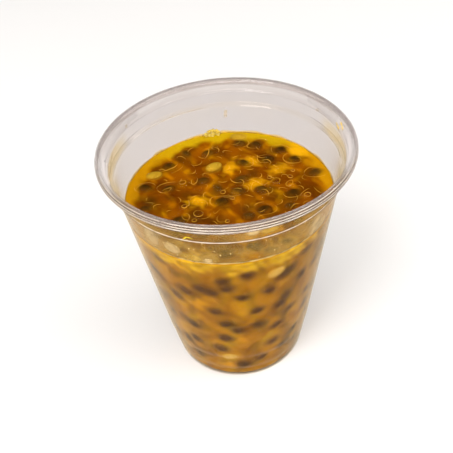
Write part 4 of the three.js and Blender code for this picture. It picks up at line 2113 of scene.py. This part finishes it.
@dataclass
class WallTraces:
    """Smears, strings and films of juice that dried on the inside of the cup above the level, and painted
    highlight and painted dark lines on the ledge, at the level and in the rolled rim.
    """

    cup: CupShape
    effects: EffectGroups
    flatness: float = 0.4
    haze_colour: Colour = (0.94, 0.65, 0.17)
    cling_colour: Colour = (0.72, 0.46, 0.03)
    cling_cover: float = 2.2
    speck_count: int = 30
    speck_bearings: Pair = (226, 82)
    speck_heights: Pair = (84, 10.5)
    speck_size: Pair = (0.3, 0.35)
    speck_colour: Colour = srgb(246, 226, 170)
    haze_span: Pair = (82.4, 101.0)
    haze_rows: tuple[Place, ...] = ((82.4, 84.0, 9), (84.6, 94.0, 14), (94.2, 101.0, 22))
    haze_depths: Pair = (0.02, 0.08)
    haze_least: float = 0.04
    haze_front: float = 0.85
    veil_sides_painted: float = 0.35
    band_thinner: float = 0.1
    veil_edges_painted: float = 0.45
    front_cling: float = 0.2
    line_depth: float = 0.05
    segments: int = 240
    trace_sides: int = 10

    def _ribbon(self, trace: Trace) -> Shape:
        """A low ribbon that lies on the inside of the plastic.

        Args:
            trace: Its path and width.

        Returns:
            Points and faces.
        """
        rows = np.array(trace.path, float)
        steps = np.linspace(0, len(rows) - 1, trace.rows)
        bearings = np.interp(steps, np.arange(len(rows)), rows[:, 0])
        heights = np.interp(steps, np.arange(len(rows)), rows[:, 1])
        lift = self.flatness * trace.half_width * 0.5
        radius = self.cup.inside_radius(heights) - lift
        if trace.outside:
            radius = radius + self.cup.sheet + 2 * lift
        angles = np.radians(bearings)
        path = np.column_stack([radius * np.cos(angles), radius * np.sin(angles), heights])
        swell = 0.35 + 0.65 * np.sin(np.linspace(0, math.pi, len(path))) ** 0.5
        swell *= 1 + 0.25 * np.sin(steps * 5.1)
        facing = np.column_stack([-np.cos(angles), -np.sin(angles), np.zeros(len(path))])
        return swept(path, trace.half_width * swell, facing, self.trace_sides, self.flatness)

    def _piece(self, name: str, traces: Sequence[Trace], colour: Colour, finish: Film) -> Piece:
        """Makes one piece of several traces.

        Args:
            name: The piece's name.
            traces: The traces.
            colour: Their colour.
            finish: Their finish.

        Returns:
            The piece.
        """
        points, faces = gathered(self._ribbon(trace) for trace in traces)
        swells = [np.sin(np.linspace(0.15, math.pi - 0.15, trace.rows)) for trace in traces]
        covers = np.repeat(np.concatenate(swells), self.trace_sides) ** 0.5
        paint = np.column_stack([np.tile(colour, (len(points), 1)), covers])
        return juice_piece(name, points, faces, finish, paint)

    def _specks(self) -> Piece:
        """Makes the tiny drops that cling to the inside of the front.

        Returns:
            The piece.
        """
        draw = random_source(67)
        lies: list[Lie] = []
        for _ in range(self.speck_count):
            angle = math.radians(self.speck_bearings[0] + self.speck_bearings[1] * draw())
            z = self.speck_heights[0] + self.speck_heights[1] * draw()
            size = self.speck_size[0] + self.speck_size[1] * draw()
            lies.append(round_lie(float(self.cup.inside_radius(z)) - size / 3, angle, z, size))
        points, faces = joined(ball(10, 6), lies)
        paint = np.tile(self.speck_colour, (len(points), 1))
        finish = Film(self.effects, "juice_specks", Thickness(0.4, 0.8, 900))
        return juice_piece("juice_specks", points, faces, finish, paint)

    def _rim_lines(self) -> Piece:
        """Makes the painted highlights and painted dark lines that come and go along the front of the roll:
        the dark ones stand in for the pulp seen bent through the roll.

        Returns:
            The piece.
        """
        cup = self.cup
        half = np.array([cup.roll_width, cup.roll_height]) / 2
        middle = np.array([cup.rim_radius, cup.height]) - half
        parts: list[Shape] = []
        paints: list[Array] = []
        for line in RIM_LINES:
            turns = np.radians([line.turn - line.half_turn, line.turn, line.turn + line.half_turn])
            way = np.column_stack([np.cos(turns), np.sin(turns)])
            near = middle + (half - self.line_depth) * way
            far = middle + (half - 3 * self.line_depth) * way
            points, faces = turned_loop(np.vstack([near, far[::-1]]), self.segments)
            # Only on the front of the roll.
            front = smooth_step(-points[:, 1] / np.hypot(points[:, 0], points[:, 1]), 0.15, 0.6)
            wander = clouds(points * (1, 1, 0), length=34, shift=line.turn)
            cover = line.cover * front * (0.45 + 0.55 * wander)
            parts.append((points, faces))
            paints.append(np.column_stack([np.tile(line.colour, (len(points), 1)), cover]))
        points, faces = gathered(parts)
        finish = Film(self.effects, "rim_lines", Thickness(0.6, 1.0, 260), roughness=0.25)
        piece = make_piece("rim_lines", points, faces, finish.material(), np.vstack(paints))
        return piece

    def _haze(self) -> Piece:
        """Makes the thin cloudy film that the pulp left on the wall, thickest at the front; it is partly a
        painted veil of reflected light, thicker where the wall is seen at a slant.

        Returns:
            The piece.
        """
        heights = np.concatenate([np.linspace(low, high, int(rows)) for low, high, rows in self.haze_rows])
        inside = self.cup.inside_radius(heights)
        near = np.column_stack([inside - self.haze_depths[0], heights])
        far = np.column_stack([inside - self.haze_depths[1], heights])[::-1]
        points, faces = turned_loop(np.vstack([near, far]), self.segments)
        return juice_piece("juice_haze_and_veil", points, faces, JuiceHazeAndVeil(self.effects), self._haze_paint(points))

    def _haze_paint(self, points: Array) -> Array:
        """The colour and cover of the haze.

        Args:
            points: Rows of x, y and z.

        Returns:
            Red, green, blue and cover for each point.
        """
        x, y, z = points.T
        low, high = self.haze_span
        radius = np.hypot(x, y)
        across = np.abs(x) / radius
        # Partly painted reflection: the cover is thickest on the front half, more towards the left and right,
        # and strongest at the left and right edges of the band, where the wall is seen at a slant.
        front = smooth_step(y / radius, 0.1, -0.75)
        on_band = smooth_step(z, self.cup.ledge_z, self.cup.band_z)
        aside = smooth_step(across, 0.45, 0.8)
        cover = self.haze_least + front * (self.haze_front + self.veil_sides_painted * aside)
        cover = cover * (1 - self.band_thinner * on_band)
        cover = np.maximum(cover, self.veil_edges_painted * on_band * smooth_step(across, 0.86, 0.97))
        cover = cover * smooth_step((z - low) / (high - low), 1.0, 0.9)
        wander = clouds(points * (1, 1, 0), length=13, shift=2.0)
        cling = smooth_step(z - low, 0.5 + 1.3 * wander, 0.1 + 0.3 * wander)
        cling = cling * (1 - (1 - self.front_cling) * front)
        cover = np.maximum(cover, self.cling_cover * cling)
        colours = mixed(np.array([self.haze_colour]), np.array([self.cling_colour]), cling)
        bearings = np.degrees(np.arctan2(y, x)) % 360
        for blob in HAZE_BLOBS:
            along = np.radians(bearings - blob.bearing) * radius / blob.half_width
            spread = smooth_step(np.hypot(along, (z - blob.z) / blob.half_height), 1.35, 0.5)
            cover = np.maximum(cover, spread * blob.cover)
            colours = mixed(colours, np.array([blob.colour]), spread)
        return np.column_stack([colours, cover])

    def build(self) -> list[Piece]:
        """Makes the traces.

        Returns:
            One piece for each kind.
        """
        smeared = Film(self.effects, "dried_juice", Thickness(0.35, 0.85, 900))
        stringy = Film(self.effects, "juice_string", Thickness(0.8, 1.0, 900))
        faint = Film(self.effects, "faint_film", Thickness(0.06, 0.3, 500))
        # Painted highlight along the front of the lower ledge.
        ledge_glint = Film(self.effects, "ledge_highlight_painted", Thickness(0.5, 0.8, 1100), roughness=0.3)
        # Painted highlight of the meniscus, just above the level.
        level = Film(self.effects, "meniscus_highlight_painted", Thickness(0.25, 0.6, 300))
        dark = Film(self.effects, "dark_speck", Thickness(0.5, 0.9, 1200))
        return [
            self._piece("dried_smears", BAR_TRACES, srgb(240, 205, 80), smeared),
            self._piece("juice_string", STRING_TRACES, srgb(244, 222, 40), stringy),
            self._piece("faint_film", FAINT_TRACES, srgb(205, 175, 110), faint),
            self._piece("ledge_highlight_painted", LEDGE_HIGHLIGHT_TRACES, (0.95, 0.88, 0.84), ledge_glint),
            self._piece("meniscus_highlight_painted", MENISCUS_HIGHLIGHT_TRACES, srgb(246, 222, 150), level),
            self._specks(),
            self._piece("dark_speck", SPECK_TRACES, srgb(80, 66, 60), dark),
            self._rim_lines(),
            self._haze(),
        ]


# ---- the studio


@dataclass(frozen=True)
class Softbox:
    """A soft light: its direction from the cup, its distance and size in metres, and its power in watts."""

    name: str
    way: Place
    distance: float
    size: Pair
    power: float


SOFTBOXES = [
    Softbox("softbox_left", (-0.447, -0.532, 0.719), 0.9, (0.38, 0.4), 4.0),
    Softbox("softbox_right", (0.736, -0.103, 0.669), 0.9, (0.84, 0.28), 2.6),
    Softbox("softbox_low", (-0.12, -0.96, 0.22), 1.2, (1.4, 0.4), 9.0),
]


@dataclass
class Studio:
    """The floor, the light and the camera."""

    floor_size: float = 6.0
    floor_colour: Colour = (0.84, 0.825, 0.815)
    floor_roughness: float = 0.9
    bright_way: Place = (0.0, -0.7, 0.7)
    bright_span: Pair = (0.0, 0.7)
    card_way: Place = (0.0, 0.79, 0.61)
    card_span: Pair = (0.78, 0.93)
    card_sky: Colour = (0.06, 0.058, 0.056)
    dim_sky: Colour = (0.42, 0.41, 0.4)
    bright_sky: Colour = (1.0, 0.99, 0.97)
    sky_strength: float = 1.15
    lit_height: float = 0.08
    camera_place: Place = (0.0, -0.20492, 0.2445)
    pitch: float = 41.42
    yaw: float = -0.63
    roll: float = -5.06
    lens: float = 52.43
    sensor: float = 36.0
    nearest: float = 0.01

    def build(self) -> None:
        """Makes the floor, the light and the camera."""
        self._floor()
        self._sky()
        for softbox in SOFTBOXES:
            self._hang(softbox)
        self._camera()
        bpy.context.scene.view_settings.view_transform = "Standard"

    def _floor(self) -> None:
        """Lays a plain pale floor."""
        half = self.floor_size / 2 / MM
        points = np.array([(-half, -half, 0), (half, -half, 0), (half, half, 0), (-half, half, 0)])
        material = bpy.data.materials.new("floor")
        material.use_nodes = True
        shader = material.node_tree.nodes["Principled BSDF"]
        shader.inputs["Base Color"].default_value = (*self.floor_colour, 1)
        shader.inputs["Roughness"].default_value = self.floor_roughness
        shader.inputs["Specular IOR Level"].default_value = 0.0
        make_piece("floor", points, [(0, 1, 2, 3)], material)

    def _sky(self) -> None:
        """Lights the scene softly from above and in front, with a dark card behind against glare."""
        world = bpy.data.worlds.new("studio")
        bpy.context.scene.world = world
        world.use_nodes = True
        graph = Graph(world.node_tree)
        graph.tree.nodes.clear()
        way = graph.add("ShaderNodeTexCoord").outputs["Generated"]
        bright = graph.ramp(self._towards(graph, way, self.bright_way), *self.bright_span)
        card = graph.ramp(self._towards(graph, way, self.card_way), *self.card_span)
        colour = graph.blend(card, graph.blend(bright, self.dim_sky, self.bright_sky), self.card_sky)
        light = graph.add("ShaderNodeBackground", {"Color": colour, "Strength": self.sky_strength})
        graph.link(light.outputs[0], graph.add("ShaderNodeOutputWorld").inputs[0])

    @staticmethod
    def _towards(graph: Graph, way: Socket, middle: Place) -> Socket:
        """How far a direction points the way of a given one."""
        inputs = {0: way, 1: middle}
        return graph.add("ShaderNodeVectorMath", inputs, operation="DOT_PRODUCT").outputs["Value"]

    def _hang(self, softbox: Softbox) -> None:
        """Hangs a soft light.

        Args:
            softbox: Where it hangs, its size and its power.
        """
        light = bpy.data.lights.new(softbox.name, "AREA")
        light.shape = "RECTANGLE"
        light.size, light.size_y = softbox.size
        light.energy = softbox.power
        holder = bpy.data.objects.new(softbox.name, light)
        holder.visible_camera = False
        way = Vector(softbox.way)
        holder.location = Vector((0, 0, self.lit_height)) + way.normalized() * softbox.distance
        holder.rotation_euler = (-way).to_track_quat("-Z", "Y").to_euler()
        bpy.context.scene.collection.objects.link(holder)

    def _camera(self) -> None:
        """Places the camera, a little above and in front of the rim, tilted to one side."""
        pitch, yaw, roll = (math.radians(angle) for angle in (self.pitch, self.yaw, self.roll))
        flat = math.cos(pitch)
        forward = Vector((math.sin(yaw) * flat, math.cos(yaw) * flat, -math.sin(pitch)))
        level = Vector((math.cos(yaw), -math.sin(yaw), 0))
        upright = level.cross(forward)
        right = math.cos(roll) * level + math.sin(roll) * upright
        up = math.cos(roll) * upright - math.sin(roll) * level
        data = bpy.data.cameras.new("camera")
        data.lens = self.lens
        data.sensor_width = self.sensor
        data.clip_start = self.nearest
        camera = bpy.data.objects.new("camera", data)
        turn = Matrix((right, up, -forward)).transposed()
        camera.matrix_world = Matrix.Translation(self.camera_place) @ turn.to_4x4()
        bpy.context.scene.collection.objects.link(camera)
        bpy.context.scene.camera = camera


def main() -> None:
    """Builds the cup, the pulp, the small things and the studio, and reports each piece."""
    logging.basicConfig(level=logging.INFO, format="%(message)s")
    effects = EffectGroups()
    cup = CupShape()
    surface = PulpSurface(cup)
    things = SmallThings(cup, surface, effects)
    at_wall = AmberJuice(effects, "juice_at_wall", ior=1.02)
    pulp_top = Painted(effects, "pulp_top", wisp_share=0.8)
    pulp_side = Painted(effects, "pulp_side", sheen=0.12)
    pieces = [
        ClearCup(cup, ClearPlastic(effects), RimPlastic(effects)).build(),
        Juice(cup, surface, AmberJuice(effects), at_wall).build(),
        PulpBody(cup, surface, things.paint, pulp_top, pulp_side).build(),
        *things.build(),
        *WallTraces(cup, effects).build(),
    ]
    for piece in pieces:
        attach(piece, BODY)
        log.info("%s: %d faces", piece.name, len(piece.data.polygons))
    Studio().build()


if __name__ == "__main__":
    main()
